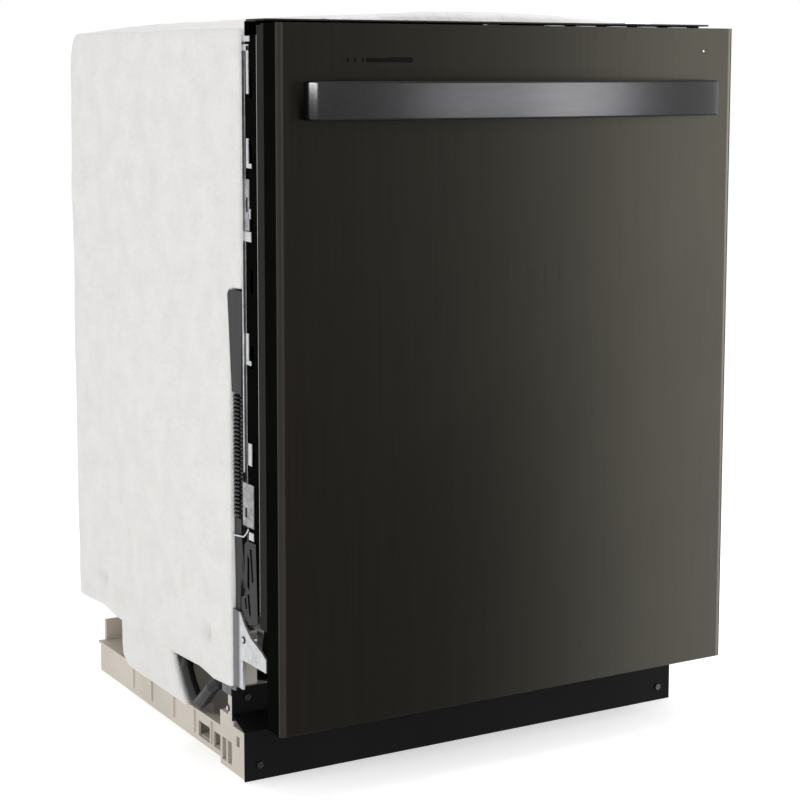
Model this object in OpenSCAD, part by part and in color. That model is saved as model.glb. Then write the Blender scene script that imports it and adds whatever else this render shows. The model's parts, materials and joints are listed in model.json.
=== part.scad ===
// Built-in dishwasher, 24 inch class, as an assembly of separate pieces.
// Millimetres, +Z up, the door faces -Y and +X is its right-hand side seen from the front.
// Most lengths along Y are depths behind the door's front face.

/* [Door] */
// Width of the outer door panel
door_w = 606; // [600:1:608]
// Height of the door panel's top edge above the floor
door_top = 851; // [842:1:868]
// Height of the door panel's bottom edge
door_bottom = 82; // [78:1:90]
// Thickness of the door's sheet steel
panel_t = 1.2; // [0.8:0.1:2]
// Radius of the door panel's upright front edges
panel_round = 4; // [2:0.5:7]
// Depth of the door panel's side returns
return_depth = 33; // [28:1:34]
// Depth of the inner door's flat rear face
liner_back = 54; // [50:1:56]
// Depth of the inner door's side edge strip
liner_edge = 19; // [10:1:20]
// How far the inner door bulges into the tub
bulge_depth = 12; // [6:1:14]
// Height of the lower end of the inner door's side edge
edge_bottom = 190; // [186:1:215]
// Height of the hinge axis above the floor
hinge_height = 150; // [146:1:154]
// Depth of the hinge axis behind the door's face
hinge_depth = 52; // [50:1:54]
// Radius of the hinge pins
pin_r = 4; // [3:0.5:5]

/* [Handle] */
// Distance of the handle's ends inside the door's side edges
handle_inset = 28; // [23:1:100]
// Height of the handle bar
handle_h = 41; // [25:1:50]
// Distance of the handle's upper edge below the door's top edge
handle_drop = 61; // [60:1:110]
// How far the handle's ends stand in front of the door
handle_end = 17; // [14:1:25]
// How far the bar bows out beyond its ends
handle_bow = 30; // [15:1:40]
// Thickness of the handle bar
handle_t = 8; // [5:0.5:12]
// Thickness of the handle's end returns
handle_post = 13; // [8:1:20]

/* [Controls] */
// Distance of the status window's centre below the door's top edge
window_drop = 37.5; // [21:0.5:45]
// Width of the status window
window_w = 30; // [15:1:40]
// Height of the status window
window_h = 3; // [2:0.5:6]
// Distance of the status window's centre left of the middle
window_x = 155; // [120:1:170]
// Distance of the indicator light inside the door's right edge
light_inset = 44; // [33:1:100]
// Distance of the indicator light below the door's top edge
light_drop = 27; // [21:1:45]
// Radius of the indicator light
light_r = 1; // [0.8:0.1:2]
// Height of the control console in the door's top
console_h = 48; // [40:1:50]
// Width of a push button
button_w = 22; // [16:1:30]
// Depth of a push button
button_d = 10; // [8:1:14]
// Distance between neighbouring push buttons
button_pitch = 44; // [34:1:60]
// Travel of a push button
button_travel = 1.5; // [0.5:0.1:2]

/* [Tub] */
// Distance of the tub's side walls inside the door's side edges
tub_inset = 20; // [19:0.5:23]
// Thickness of the tub's wall
tub_wall = 1; // [0.8:0.1:2]
// Depth of the tub's front flange
tub_front = 58.5; // [58:0.5:61]
// Thickness of the blanket behind the tub
back_padding = 26; // [20:1:32]
// Height of the tub's inner floor
tub_floor = 165; // [163:1:167]
// Distance of the tub's top below the door's top edge
tub_drop = 13; // [11:0.5:15]
// Radius of the tub's corners
tub_round = 20; // [10:1:24]
// Width of the door seal
gasket_w = 10; // [6:1:11]

/* [Racks] */
// Diameter of the racks' wires
wire = 4; // [3:0.5:5]
// Greatest distance between neighbouring wires
wire_pitch = 44; // [36:1:60]
// Height of the lower rack's floor above the tub's floor
lower_rack_rise = 53; // [50:1:60]
// Height of the lower rack's walls
lower_rack_h = 180; // [140:1:200]
// Gap between the lower rack and the tub's side walls
lower_rack_gap = 40; // [30:1:44]
// Distance of the upper rack's floor below the tub's top
upper_rack_drop = 300; // [290:1:306]
// Height of the upper rack's walls
upper_rack_h = 160; // [135:1:165]
// Gap between the two upper racks and their rails
upper_rack_gap = 4; // [3:0.5:10]
// Distance of the third rack's floor below the tub's top
third_rack_drop = 81; // [76:1:87]
// Height of the third rack's walls
third_rack_h = 44; // [36:1:46]
// Depth of the racks' front walls
rack_front = 82; // [80:1:86]
// Gap between the racks and the tub's rear wall
rack_rear_gap = 48; // [46:1:60]
// Radius of the lower rack's wheels
wheel_r = 19; // [16:0.5:21]
// Running clearance of wheels, rails and arms
run_gap = 0.3; // [0.2:0.05:0.4]

/* [Washing parts] */
// Radius of the sump's bowl
sump_r = 104; // [95:1:110]
// Height of the sump's underside
sump_bottom = 70; // [60:1:80]
// Length of the lower spray arm from its centre
lower_arm_r = 234; // [180:1:236]
// Length of the upper spray arm from its centre
upper_arm_r = 200; // [150:1:204]
// Radius of the filter cup
cup_r = 36; // [28:1:38]
// Travel of the float
float_travel = 10; // [5:1:12]
// Radius of the drain spigot
spigot_r = 10; // [8:0.5:12]
// Radius of the water inlet's bore
inlet_r = 8; // [6:0.5:10]
// Radius of the power entry's bore
entry_r = 11; // [8:0.5:12]

/* [Base] */
// Depth of the blanket's rear face
body_depth = 614; // [610:1:620]
// Height of the base's side walls
base_h = 41; // [36:1:48]
// Depth of the access panel
access_depth = 129; // [127:1:134]
// Height of the access panel's top edge
access_top = 100; // [92:1:101]
// Depth of the toe panel
toe_depth = 97; // [90:1:100]
// Height of the toe panel's flat face
toe_h = 58; // [52:1:62]
// Height of the toe panel's screws
toe_screw_z = 17.5; // [12:0.5:30]
// Radius of the panel screws' shanks
screw_r = 1.9; // [1.5:0.1:2.5]
// Distance of the panel screws inside the door's side edges
screw_inset = 21; // [14:1:40]
// Radius of the feet
foot_r = 16; // [12:1:17]
// Travel of the levelling feet
foot_travel = 16; // [5:1:20]

/* [Insulation and springs] */
// Distance of the blanket's sides inside the door's side edges
blanket_inset = 0.5; // [-1:0.5:2]
// Height of the blanket's crown above the door's top edge
blanket_rise = 17; // [13:1:23]
// Height of the blanket's lower edge
blanket_bottom = 104; // [103:1:112]
// Radius of the blanket's rear top corner
blanket_round = 70; // [40:1:90]
// Radius of the balance springs
spring_r = 6; // [4.5:0.5:6]
// Wire radius of the balance springs
spring_wire = 1.25; // [0.8:0.05:1.5]
// Height of the balance springs' upper end above the hinge axis
spring_rise = 293; // [270:1:300]
// Length of the balance springs at rest
spring_len = 141; // [120:1:150]
// Radius of the hinge arms' pull on the spring links
pull_r = 40; // [30:1:42]
// Spacing of the counter brackets' screw holes
bracket_spacing = 400; // [300:5:480]
// Radius of the counter brackets' screw holes
bracket_hole_r = 2.3; // [1.5:0.1:3]

/* [Hidden] */
$fn = 48;
joint_gap = 0.2;                                   // between solids that stay separate
bore_gap = 0.08;                                   // radial running fit of pins
handle_reach = handle_end + handle_bow;
handle_z = door_top - handle_drop - handle_h;
door_y = (handle_reach - body_depth) / 2;          // front face of the door in the row's frame
door_half = door_w / 2;
handle_half = door_half - handle_inset;
window_z = door_top - window_drop;
light_x = door_half - light_inset;
light_z = door_top - light_drop;
edge_half = door_half - 2;                         // half width of the inner door
tub_half = door_half - tub_inset;
tub_back = body_depth - back_padding;
tub_top = door_top - tub_drop;
tub_in = tub_half - tub_wall;
tub_ceiling = tub_top - tub_wall;
bulge_back = liner_back + bulge_depth;
bulge_half = tub_in - gasket_w - 5;
bulge_top = tub_ceiling - gasket_w - 5;
bulge_bottom = tub_floor + 13;
frame_half = edge_half - 2.5;                      // outer faces of the front frame's posts
frame_bottom = edge_bottom + 12;
frame_slots = [100, 164, 274, 358, 423, 493, 570]; // heights of the posts' slots above their lower end
slot_h = 26;
bracket_t = 2.5;
arm_t = 2.5;
arm_h = 200;
arm_outer = frame_half - 1.5;                      // outer faces of the hinge arms
console_bottom = door_top - console_h;
console_front = panel_t + 6;
console_back = liner_back - 1;
button_depth = 20;
rack_floor = tub_floor + lower_rack_rise;
rack_back = tub_back - rack_rear_gap;
upper_rack_z = tub_top - upper_rack_drop;
third_rack_z = tub_top - third_rack_drop;
lower_rack_half = tub_in - lower_rack_gap;
axle_inset = 62;                                   // of the wheels from the lower rack's ends
wheel_z = tub_floor + wheel_r + run_gap;
arm_centre = (tub_front + tub_back) / 2 + 11.75;   // axis of both spray arms
cup_centre = arm_centre - 120;
sump_centre = (arm_centre + cup_centre) / 2;
arm_z = tub_floor + 22;
post_r = 12;
feed_back = tub_back - tub_wall;
feed_front = feed_back - 12;
pipe_r = 9;
pipe_z = upper_rack_z - pipe_r - 1;
rail_back = tub_in - gasket_w - 1.5;            // rails stand clear of the door seal
rail_front = rail_back - 23.5;
upper_rack_half = rail_front - upper_rack_gap;
rail_h = 36;
upper_rail_z = upper_rack_z + 70;
third_rail_z = third_rack_z + 4;
tower_front = access_depth + panel_t + 1.5;
tower_back = tower_front + 36;
base_half = door_half - 13;
tower_inner = base_half - 40;
tub_under = tub_floor - tub_wall;
foot_x = base_half - 20;
screw_x = door_half - screw_inset;
front_foot_depth = tower_front + 18;
base_back = tub_back - 20;
rear_foot_depth = base_back - 28;
base_floor = 5;
base_wall = 3;
base_ribs = [41.3, 90.3, 152.3, 222.3, 282.3];      // of the side ribs behind the front towers
access_screw_z = access_top - 12;
blanket_half = door_half - blanket_inset;
blanket_top = door_top + blanket_rise;
blanket_in = tub_half + 0.4;
blanket_front = 92;
blanket_step = access_depth - 3;
spring_top = hinge_height + spring_rise;
strap_h = 117;
strap_t = 1.2;
strap_w = 39;
lip_bottom = spring_top - 84;
blanket_step_z = spring_top + strap_h + 2;
spring_depth = blanket_front + 26;
spring_x = blanket_half - spring_r - 0.9;
spring_turns = 26;
spring_bottom = spring_top - spring_len;
roller_depth = hinge_depth + 40;
roller_z = hinge_height + 19;
link_t = 5;
strap_x = blanket_half - 0.6 - strap_t;
basket_w = 96;
basket_right = lower_rack_half - wire - 2;
basket_left = basket_right - basket_w;
float_inset = 66;
cell_deep = 14;                                        // open cells in the base's outer faces
cell_w = 11;
cell_low = 7;
cell_top = 34;
comb_left = -lower_rack_half + 22;
comb_w = basket_left - 30 - comb_left;
comb_h = lower_rack_h / 2;
comb_step = 85;
fold_depth = rack_back - 88;
fold_z = rack_floor + wire + run_gap + wire / 2;
shelf_w = 84;
shelf_len = 260;
shelf_front = rack_front + 60;
pump_len = 50;
spigot_x = -(sump_r + pump_len + 6);
spigot_z = sump_bottom + 15;
spigot_end = body_depth - 14;
spigot_step = 2;                                   // the line is thicker than its outlet by this much
valve_x = -(base_half - 72);
valve_depth = tower_back + 18.3;
valve_bottom = 10;
valve_top = sump_bottom;
entry_x = base_half - 75;
entry_depth = valve_depth - 1;
drain_r = 24;
motor_r = 40;
motor_z = sump_bottom + 42;
motor_len = 90;
lid_w = 72;
lid_h = 80;
lid_t = 3;
dispenser_w = 190;
dispenser_h = 124;
dispenser_x = -40;
dispenser_z = (bulge_bottom + bulge_top) / 2;
rinse_x = dispenser_x + 62;
rinse_r = 19;
vent_x = 175;
vent_z = dispenser_z + 120;
vent_r = 40;
latch_half = 12;                                   // half width of the latch's way through the frame
claw_depth = 46;
latch_z = tub_top + 5;                             // height of the latch strike's bar
strip_z = door_top + 3;
strip_t = 2;
strip_half = door_half - 5;
hose_r = 8;

// A box given by its x range, depth range and height range
module slab(x, d, z) {
    translate([x[0], door_y + d[0], z[0]])
        cube([x[1] - x[0], d[1] - d[0], z[1] - z[0]]);
}

// Repeats its children mirrored to the other side
module both_sides() {
    children();
    mirror([1, 0, 0]) children();
}

// A plate of thickness t whose outline is drawn in depth and height, its left face at x
module side_plate(x, t) {
    translate([x, door_y, 0]) rotate([90, 0, 90]) linear_extrude(t) children();
}

// A plate of thickness t whose outline is drawn in width and height, its front face at depth d
module front_plate(d, t) {
    translate([0, door_y + d + t, 0]) rotate([90, 0, 0]) linear_extrude(t) children();
}

// A plate of thickness t whose outline is drawn in width and depth, its lower face at height z
module level_plate(z, t) {
    translate([0, door_y, z]) linear_extrude(t) children();
}

// A square-cornered or rounded outline from its lower left corner
module round_rect(w, h, r) {
    translate([r, 0]) square([w - 2 * r, h]);
    translate([0, r]) square([w, h - 2 * r]);
    for (u = [r, w - r], v = [r, h - r])
        translate([u, v]) circle(r);
}

module centred_rect(w, h, r) {
    translate([-w / 2, 0]) round_rect(w, h, r);
}

// An upright cylinder at x and depth d
module upright(x, d, z, h, r) {
    translate([x, door_y + d, z]) cylinder(r = r, h = h);
}

// A cylinder along the width from x
module crossways(x, d, z, len, r) {
    translate([x, door_y + d, z]) rotate([0, 90, 0]) cylinder(r = r, h = len);
}

// A cylinder running back from depth d
module backwards(x, d, z, len, r) {
    translate([x, door_y + d, z]) rotate([-90, 0, 0]) cylinder(r = r, h = len);
}

// Tube section planes: each ring faces along the bisector of its neighbours
function unit(v) = v / norm(v);
function way(points, i) =
    unit(points[min(i + 1, len(points) - 1)] - points[max(i - 1, 0)]);
function side_of(v) = abs(v[2]) > 0.9 ? unit(cross([0, 1, 0], v)) : unit(cross([0, 0, 1], v));
function carried(points, i) =
    i == 0 ? side_of(way(points, 0))
    : let (last = carried(points, i - 1), v = way(points, i)) unit(last - (last * v) * v);
function ring(points, i, r, sides) =
    let (v = way(points, i), a = carried(points, i), b = cross(v, a))
        [for (k = [0 : sides - 1])
            points[i] + [0, door_y, 0] + r * (cos(360 * k / sides) * a + sin(360 * k / sides) * b)];

// A closed tube along points given as [x, depth, z]
module tube(points, r, sides = 12) {
    n = len(points);
    polyhedron(
        [for (i = [0 : n - 1]) each ring(points, i, r, sides)],
        concat(
            [[for (k = [0 : sides - 1]) k]],
            [for (i = [0 : n - 2], k = [0 : sides - 1])
                [i * sides + k, (i + 1) * sides + k,
                 (i + 1) * sides + (k + 1) % sides, i * sides + (k + 1) % sides]],
            [[for (k = [sides - 1 : -1 : 0]) (n - 1) * sides + k]]));
}

// A flat grid of wires, w by h, with a rim on all four sides
module wire_grid(w, h) {
    cols = ceil((w - wire) / wire_pitch);
    rows = ceil((h - wire) / wire_pitch);
    for (i = [0 : cols]) translate([i * (w - wire) / cols, 0]) square([wire, h]);
    for (j = [0 : rows]) translate([0, j * (h - wire) / rows]) square([w, wire]);
}

// An upright comb of tines on one bar
module tine_comb(w, h) {
    count = ceil((w - wire) / wire_pitch * 1.4);
    square([w, wire / 2]);
    for (i = [0 : count]) translate([i * (w - wire) / count, 0]) square([wire, h]);
}

// One open-topped rack: a floor and four walls, each a flat grid
module rack_basket(half, z, h, front, back) {
    wall_z = z + wire + joint_gap;
    wall_h = h - wire - joint_gap;
    side_len = back - front;
    level_plate(z, wire) translate([-half, front]) wire_grid(2 * half, side_len);
    for (x = [-half, half - wire])
        side_plate(x, wire) translate([front, wall_z]) wire_grid(side_len, wall_h);
    cross = 2 * (half - wire - joint_gap);
    for (d = [front, back - wire])
        front_plate(d, wire) translate([-cross / 2, wall_z]) wire_grid(cross, wall_h);
}

module tub() color("gainsboro") {
    depth = tub_back - tub_front;
    inside = tub_ceiling - tub_floor;
    difference() {
        union() {
            front_plate(tub_front, depth)
                translate([0, tub_under]) centred_rect(2 * tub_half, tub_top - tub_under, tub_round);
            front_plate(tub_front, tub_wall)
                translate([-frame_half, frame_bottom]) square([2 * frame_half, tub_top + 1 - frame_bottom]);
        }
        front_plate(tub_front - 1, depth + 1 - tub_wall)
            translate([0, tub_floor]) centred_rect(2 * tub_in, inside, tub_round - tub_wall);
        upright(0, sump_centre, tub_under - 1, tub_wall + 2, sump_r);
    }
}

module front_frame() color("silver") {
    front = tub_front + tub_wall;
    back = blanket_front - 3;
    t = 1.2;
    post_top = tub_top - joint_gap;
    both_sides() difference() {
        union() {
            slab([frame_half - t, frame_half], [front, back], [frame_bottom, post_top]);
            slab([tub_half + 0.3, frame_half], [front, front + t], [frame_bottom, post_top]);
            slab([tub_half + 0.3, frame_half], [back - t, back], [frame_bottom, post_top]);
        }
        for (rise = frame_slots)
            slab([frame_half - t - 1, frame_half + 1], [back - 18, back - 10],
                 [frame_bottom + rise, frame_bottom + rise + slot_h]);
        crossways(frame_half - t - 1, back - 10, frame_bottom + 90, t + 2, 3);
    }
    // an outward lip covers the felt's front edge
    both_sides() slab([frame_half - t, blanket_half - 0.6], [back, blanket_front - 0.4], [lip_bottom, post_top]);
    // the top rail is in two halves, with the latch's way between them
    both_sides() {
        slab([latch_half, frame_half], [front, back], [tub_top, tub_top + t]);
        slab([latch_half, frame_half], [front, front + t], [tub_top + t, strip_z]);
        slab([latch_half, frame_half], [back - t, back], [tub_top + t, strip_z]);
    }
}

module tub_gasket() color("dimgray") {
    depth = 3.5;
    height = tub_ceiling - frame_bottom;
    front_plate(liner_back + joint_gap, tub_front + depth - liner_back)
        difference() {
            translate([0, frame_bottom]) centred_rect(2 * tub_in, height, tub_round - tub_wall);
            translate([0, frame_bottom - tub_round])
                centred_rect(2 * (tub_in - gasket_w), height + tub_round - gasket_w, tub_round / 2);
        }
}

module base_pan() color("tan") {
    level = base_floor + base_wall;
    difference() {
        union() {
            slab([-base_half, base_half], [tower_front, base_back], [base_floor, level]);
            both_sides() {
                slab([base_half - base_wall, base_half], [tower_back, base_back], [0, base_h]);
                slab([base_half - 10, base_half + 3], [tower_back, base_back], [base_h - base_wall, base_h]);
                slab([tower_inner, frame_half], [tower_front, tower_back], [0, base_h + 24]);
                slab([tower_inner, frame_half], [toe_depth + panel_t + 0.5, tower_front], [0, toe_h - 3]);
                slab([base_half - 22, frame_half], [tower_front, tower_front + 14],
                     [base_h + 24, blanket_bottom - 1]);
                slab([base_half - 22, tub_half], [tower_front, tower_front + 6], [base_h + 24, tub_under]);
                slab([base_half - 22, base_half - 12], [tower_front, tower_back], [base_h + 24, tub_under]);
                slab([tower_inner - 10, base_half], [rear_foot_depth - 35, base_back], [0, base_h]);
                slab([base_half - 34, base_half - 28], [rear_foot_depth - 35, base_back], [base_h, tub_under]);
                slab([base_half - 34, base_half - 6], [base_back - 6, base_back], [base_h, base_h + 28]);
                for (rise = base_ribs)
                    slab([base_half - 24, base_half + 2], [tower_back + rise, tower_back + rise + base_wall],
                         [level, base_h - 1]);
            }
            slab([-base_half, base_half], [base_back - base_wall, base_back], [0, base_h]);
            slab([-tower_inner, tower_inner], [tower_front, tower_front + base_wall], [0, base_h]);
            slab([sump_r + 36, sump_r + motor_len + 6], [sump_centre - 8, sump_centre + 8],
                 [level, motor_z - motor_r]);
            slab([spigot_x - 22, spigot_x + 22], [base_back - base_wall, base_back], [base_h, spigot_z + 20]);
        }
        both_sides() for (d = [front_foot_depth, rear_foot_depth]) {
            upright(foot_x, d, -1, base_floor + 1.3, foot_r + 1.5);
            upright(foot_x, d, 0, base_h - 2, 5 + bore_gap);
        }
        both_sides() {
            for (d = [tower_front + 5, tower_front + 20])
                slab([frame_half - cell_deep, frame_half + 1], [d, d + cell_w], [cell_low, cell_top]);
            slab([frame_half - cell_deep, frame_half + 1], [tower_front - 16, tower_front - 8],
                 [cell_top, toe_h - 12]);
            for (d = [tower_back + 4, tower_back + 48])
                slab([base_half - base_wall - 1, base_half + 1], [d, d + 3 * cell_w], [cell_low, base_h - 15]);
        }
        for (x = [-screw_x, screw_x])
            backwards(x, toe_depth + panel_t, toe_screw_z, 9, screw_r + bore_gap);
        upright(valve_x, valve_depth, base_floor - 1, base_wall + 2, 24);
        upright(entry_x, entry_depth, base_floor - 1, base_wall + 2, 20);
        backwards(spigot_x, base_back - base_wall - 1, spigot_z, base_wall + 2,
                  spigot_r + spigot_step + bore_gap);
        for (x = [-screw_x, screw_x])
            backwards(x, tower_front - 1, access_screw_z, 6, screw_r + bore_gap);
    }
}

module insulation_blanket() color("whitesmoke") {
    back = body_depth;
    crown = blanket_top;
    crown_drop = 22;
    shoulder = crown - crown_drop;
    crown_r = (blanket_half * blanket_half + crown_drop * crown_drop) / (2 * crown_drop);
    difference() {
        intersection() {
            side_plate(-blanket_half, 2 * blanket_half) {
                translate([blanket_front, blanket_step_z])
                    square([back - blanket_front - blanket_round, crown - blanket_step_z]);
                translate([blanket_step, blanket_bottom])
                    square([back - blanket_step, crown - blanket_round - blanket_bottom]);
                translate([back - blanket_round, crown - blanket_round]) circle(blanket_round);
            }
            // the top is crowned across the width
            front_plate(0, back + 1) difference() {
                translate([-blanket_half, 0]) square([2 * blanket_half, crown + 1]);
                difference() {
                    translate([-blanket_half - 1, shoulder])
                        square([2 * blanket_half + 2, crown_drop + 2]);
                    translate([0, crown - crown_r]) circle(crown_r, $fn = 256);
                }
            }
        }
        slab([-blanket_in, blanket_in], [0, tub_back + 0.4], [0, tub_top + 2.4]);
        slab([-frame_half - 1, frame_half + 1], [0, blanket_front], [0, strip_z + 0.5]);
        both_sides()
            slab([strap_x - 0.4, blanket_half + 1], [blanket_front - 1, blanket_front + strap_w + 1],
                 [spring_top + 1, spring_top + strap_h + 1]);
    }
}

module insulation_skirt() color("white") both_sides() {
    front = valve_depth + 71;
    rear = base_back - 104;
    low = base_h + 0.3;
    top = blanket_bottom - joint_gap;
    corner = 24;
    side_plate(base_half + 3, blanket_half - base_half - 4) {
        polygon([
            [front, low], [rear - corner, low], [rear - corner, low + corner],
            [rear, low + corner], [rear, top], [front + 52, top]
        ]);
        translate([rear - corner, low + corner]) circle(corner);
    }
}

module toe_panel() color("black") {
    side = door_half - 2;
    t = panel_t;
    rise = access_top - 30 - toe_h;
    back = access_depth;
    difference() {
        side_plate(-side, 2 * side) polygon([
            [toe_depth, 0], [toe_depth + t, 0], [toe_depth + t, toe_h - t / 2],
            [back, toe_h + rise - t], [back, toe_h + rise], [toe_depth, toe_h]
        ]);
        for (x = [-screw_x, screw_x])
            backwards(x, toe_depth - 1, toe_screw_z, t + 2, screw_r + bore_gap);
    }
}

module access_panel() color("black") {
    side = door_half - 2;
    difference() {
        slab([-side, side], [access_depth, access_depth + panel_t], [toe_h + 4, access_top]);
        for (x = [-screw_x, screw_x])
            backwards(x, access_depth - 1, access_screw_z, 4, screw_r + bore_gap);
    }
}

module panel_screws() color("dimgray") for (x = [-screw_x, screw_x]) {
    backwards(x, toe_depth - 2, toe_screw_z, 2, 4);
    backwards(x, toe_depth, toe_screw_z, 8, screw_r);
    backwards(x, access_depth - 2, access_screw_z, 2, 4);
    backwards(x, access_depth, access_screw_z, 6, screw_r);
}

module hinge_brackets() color("gainsboro") both_sides() {
    low = hinge_height - 8;
    leg_back = blanket_step - 1.2;
    leg_low = access_top + 7.5;
    ledge_top = blanket_bottom - 1;
    side_plate(frame_half, bracket_t) difference() {
        polygon([
            [hinge_depth - 12, low + 1], [hinge_depth - 12, hinge_height + 8],
            [hinge_depth - 2, hinge_height + 13], [hinge_depth + 28, hinge_height + 23],
            [hinge_depth + 42, hinge_height + 33], [hinge_depth + 54, hinge_height + 46],
            [leg_back, hinge_height + 46], [leg_back, ledge_top],
            [tower_front + 24, ledge_top], [tower_front + 24, ledge_top - 12],
            [tower_front, ledge_top - 12], [tower_front, access_top + 0.3],
            [leg_back - 3, access_top + 0.3], [leg_back - 3, leg_low],
            [hinge_depth + 48, leg_low], [hinge_depth + 48, low]
        ]);
        translate([roller_depth, roller_z]) circle(3);
    }
    crossways(arm_outer - arm_t - 3, hinge_depth, hinge_height, frame_half - arm_outer + arm_t + 3, pin_r);
    crossways(frame_half - 10, roller_depth, roller_z, 10, 5);
    crossways(frame_half, roller_depth, roller_z, bracket_t, 3 - bore_gap);
}

module spring_straps() color("dimgray") both_sides() {
    low = spring_top + 2;
    high = spring_top + strap_h;
    side_plate(strap_x, strap_t) polygon([
        [blanket_front + 4, low], [blanket_front, high], [blanket_front + strap_w - 4, high - 1],
        [blanket_front + strap_w, high - 6], [blanket_front + strap_w - 10, low]
    ]);
    slab([spring_x - 3, strap_x], [spring_depth - 6, spring_depth + 6], [low, low + 3]);
}

module balance_springs() color("black") both_sides()
    translate([spring_x, door_y + spring_depth, spring_bottom]) difference() {
        cylinder(r = spring_r, h = spring_len + 2);
        translate([0, 0, -1]) cylinder(r = spring_r - 2 * spring_wire, h = spring_len + 4);
    }

module spring_links() color("dimgray") both_sides() {
    low = hinge_height + 22;
    top = spring_bottom - 0.3;
    side_plate(spring_x - link_t / 2, link_t) polygon([
        [spring_depth - 5, low], [spring_depth - 9, low + 60], [spring_depth - 11, top - 12],
        [spring_depth - 11, top], [spring_depth + 7, top], [spring_depth + 7, top - 14],
        [spring_depth + 5, low + 60], [spring_depth + 5, low]
    ]);
}

module top_strip() color("black")
    slab([-strip_half, strip_half], [40, 86], [strip_z, strip_z + strip_t]);

module counter_brackets() color("silver") for (x = [-bracket_spacing / 2, bracket_spacing / 2])
    difference() {
        slab([x - 19, x + 19], [50, 86], [strip_z + strip_t, strip_z + strip_t + 1.2]);
        upright(x, 60, strip_z, 6, bracket_hole_r);
    }

module latch_strike() color("silver") {
    both_sides() slab([14, 16], [tub_front + tub_wall + 4, tub_front + 20], [tub_top + 1.2, latch_z + 2]);
    crossways(-16, tub_front + 14, latch_z, 32, 2);
}

module sump() color("dimgray") {
    wall = 3;
    height = tub_under - sump_bottom;
    translate([0, door_y + sump_centre, sump_bottom]) difference() {
        union() {
            cylinder(r = sump_r, h = height);
            translate([0, 0, height - wall]) cylinder(r = sump_r + 12, h = wall);
        }
        translate([0, 0, wall]) cylinder(r = sump_r - wall, h = height);
    }
    upright(0, arm_centre, sump_bottom + wall, arm_z + 12 - sump_bottom - wall, post_r);
}

module fine_filter() color("silver") {
    top = tub_under - 1;
    difference() {
        upright(0, sump_centre, top - 2, 2, sump_r - 3 - joint_gap);
        upright(0, cup_centre, top - 3, 4, cup_r + 0.6);
        upright(0, arm_centre, top - 3, 4, post_r + 0.2);
    }
}

module filter_cup() color("gray") {
    wall = 2;
    top = tub_floor + 8;
    bottom = sump_bottom + 3.3;
    difference() {
        union() {
            upright(0, cup_centre, bottom, top - bottom, cup_r);
            upright(0, cup_centre, tub_under - 1 + joint_gap, 2, cup_r + 3.5);
        }
        upright(0, cup_centre, bottom + wall, top - bottom, cup_r - wall);
    }
    slab([-cup_r + 1, cup_r - 1], [cup_centre - 2, cup_centre + 2], [top - 10, top]);
    upright(0, cup_centre, top - 10, 14, 7);
}

module wash_motor() color("dimgray") {
    start = sump_r + joint_gap;
    crossways(start, sump_centre, motor_z, 16, motor_r - 14);
    crossways(start + 16, sump_centre, motor_z, motor_len, motor_r);
    crossways(start + 16 + motor_len, sump_centre, motor_z, 10, 12);
}

module drain_pump() color("dimgray") {
    start = -sump_r - joint_gap;
    crossways(start - pump_len - 20, sump_centre, spigot_z, pump_len + 20, drain_r - 12);
    crossways(start - pump_len - 26, sump_centre, spigot_z, pump_len, drain_r);
    backwards(spigot_x, sump_centre, spigot_z, drain_r + 6, 8);
    slab([spigot_x - 10, spigot_x + 10], [sump_centre - 8, sump_centre + 8],
         [base_floor + base_wall, spigot_z - drain_r + 4]);
}

module drain_line() color("gray") {
    start = sump_centre + drain_r + 6;
    shoulder = base_back + 2;
    backwards(spigot_x, start, spigot_z, shoulder - start, spigot_r + spigot_step);
    backwards(spigot_x, shoulder, spigot_z, spigot_end - shoulder, spigot_r);
}

module inlet_valve() color("white") difference() {
    union() {
        slab([valve_x - 18, valve_x + 18], [valve_depth - 20, valve_depth + 20], [valve_bottom, valve_top - 14]);
        upright(valve_x, valve_depth, valve_top - 14, 14, 6);
        slab([valve_x - 26, valve_x + 26], [valve_depth - 24, valve_depth + 30],
             [base_floor + base_wall, valve_bottom]);
    }
    upright(valve_x, valve_depth, base_floor, 22, inlet_r);
}

// A point of the hose, out from the base's side, back from the valve and above the sump's underside
function hose_point(out, back, rise) = [-(base_half + out), valve_depth + back, sump_bottom + rise];

// The hose leaves the inlet valve, hangs in a V beside the base and rises to the tub's floor
hose_route = [
    [valve_x, valve_depth, valve_top], [valve_x, valve_depth, valve_top + 10],
    hose_point(-64, 0, 19), hose_point(-48, -1, 23.5), hose_point(-30, -2, 25), hose_point(-11, -2, 24),
    hose_point(0, 3, 19), hose_point(4, 12, 12), hose_point(4.4, 28, -2), hose_point(4.4, 44, -15),
    hose_point(4.4, 52, -18.5), hose_point(4.4, 60, -15), hose_point(4.4, 75, -0.5), hose_point(3, 88, 13),
    hose_point(-2, 96, 21), hose_point(-11, 98, 25), hose_point(-23, 93, 27), hose_point(-34, 84, 31),
    hose_point(-42, 78, 40), hose_point(-45, 76, 54), [-(base_half - 45), valve_depth + 76, tub_under]
];
module fill_hose() color("black") tube(hose_route, hose_r);

module junction_box() color("silver") difference() {
    slab([entry_x - 28, entry_x + 28], [entry_depth - 32, entry_depth + 32], [base_floor + base_wall, 62]);
    slab([entry_x - 26, entry_x + 26], [entry_depth - 30, entry_depth + 30], [base_floor + base_wall + 4, 60]);
    upright(entry_x, entry_depth, base_floor, 8, entry_r);
}

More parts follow.
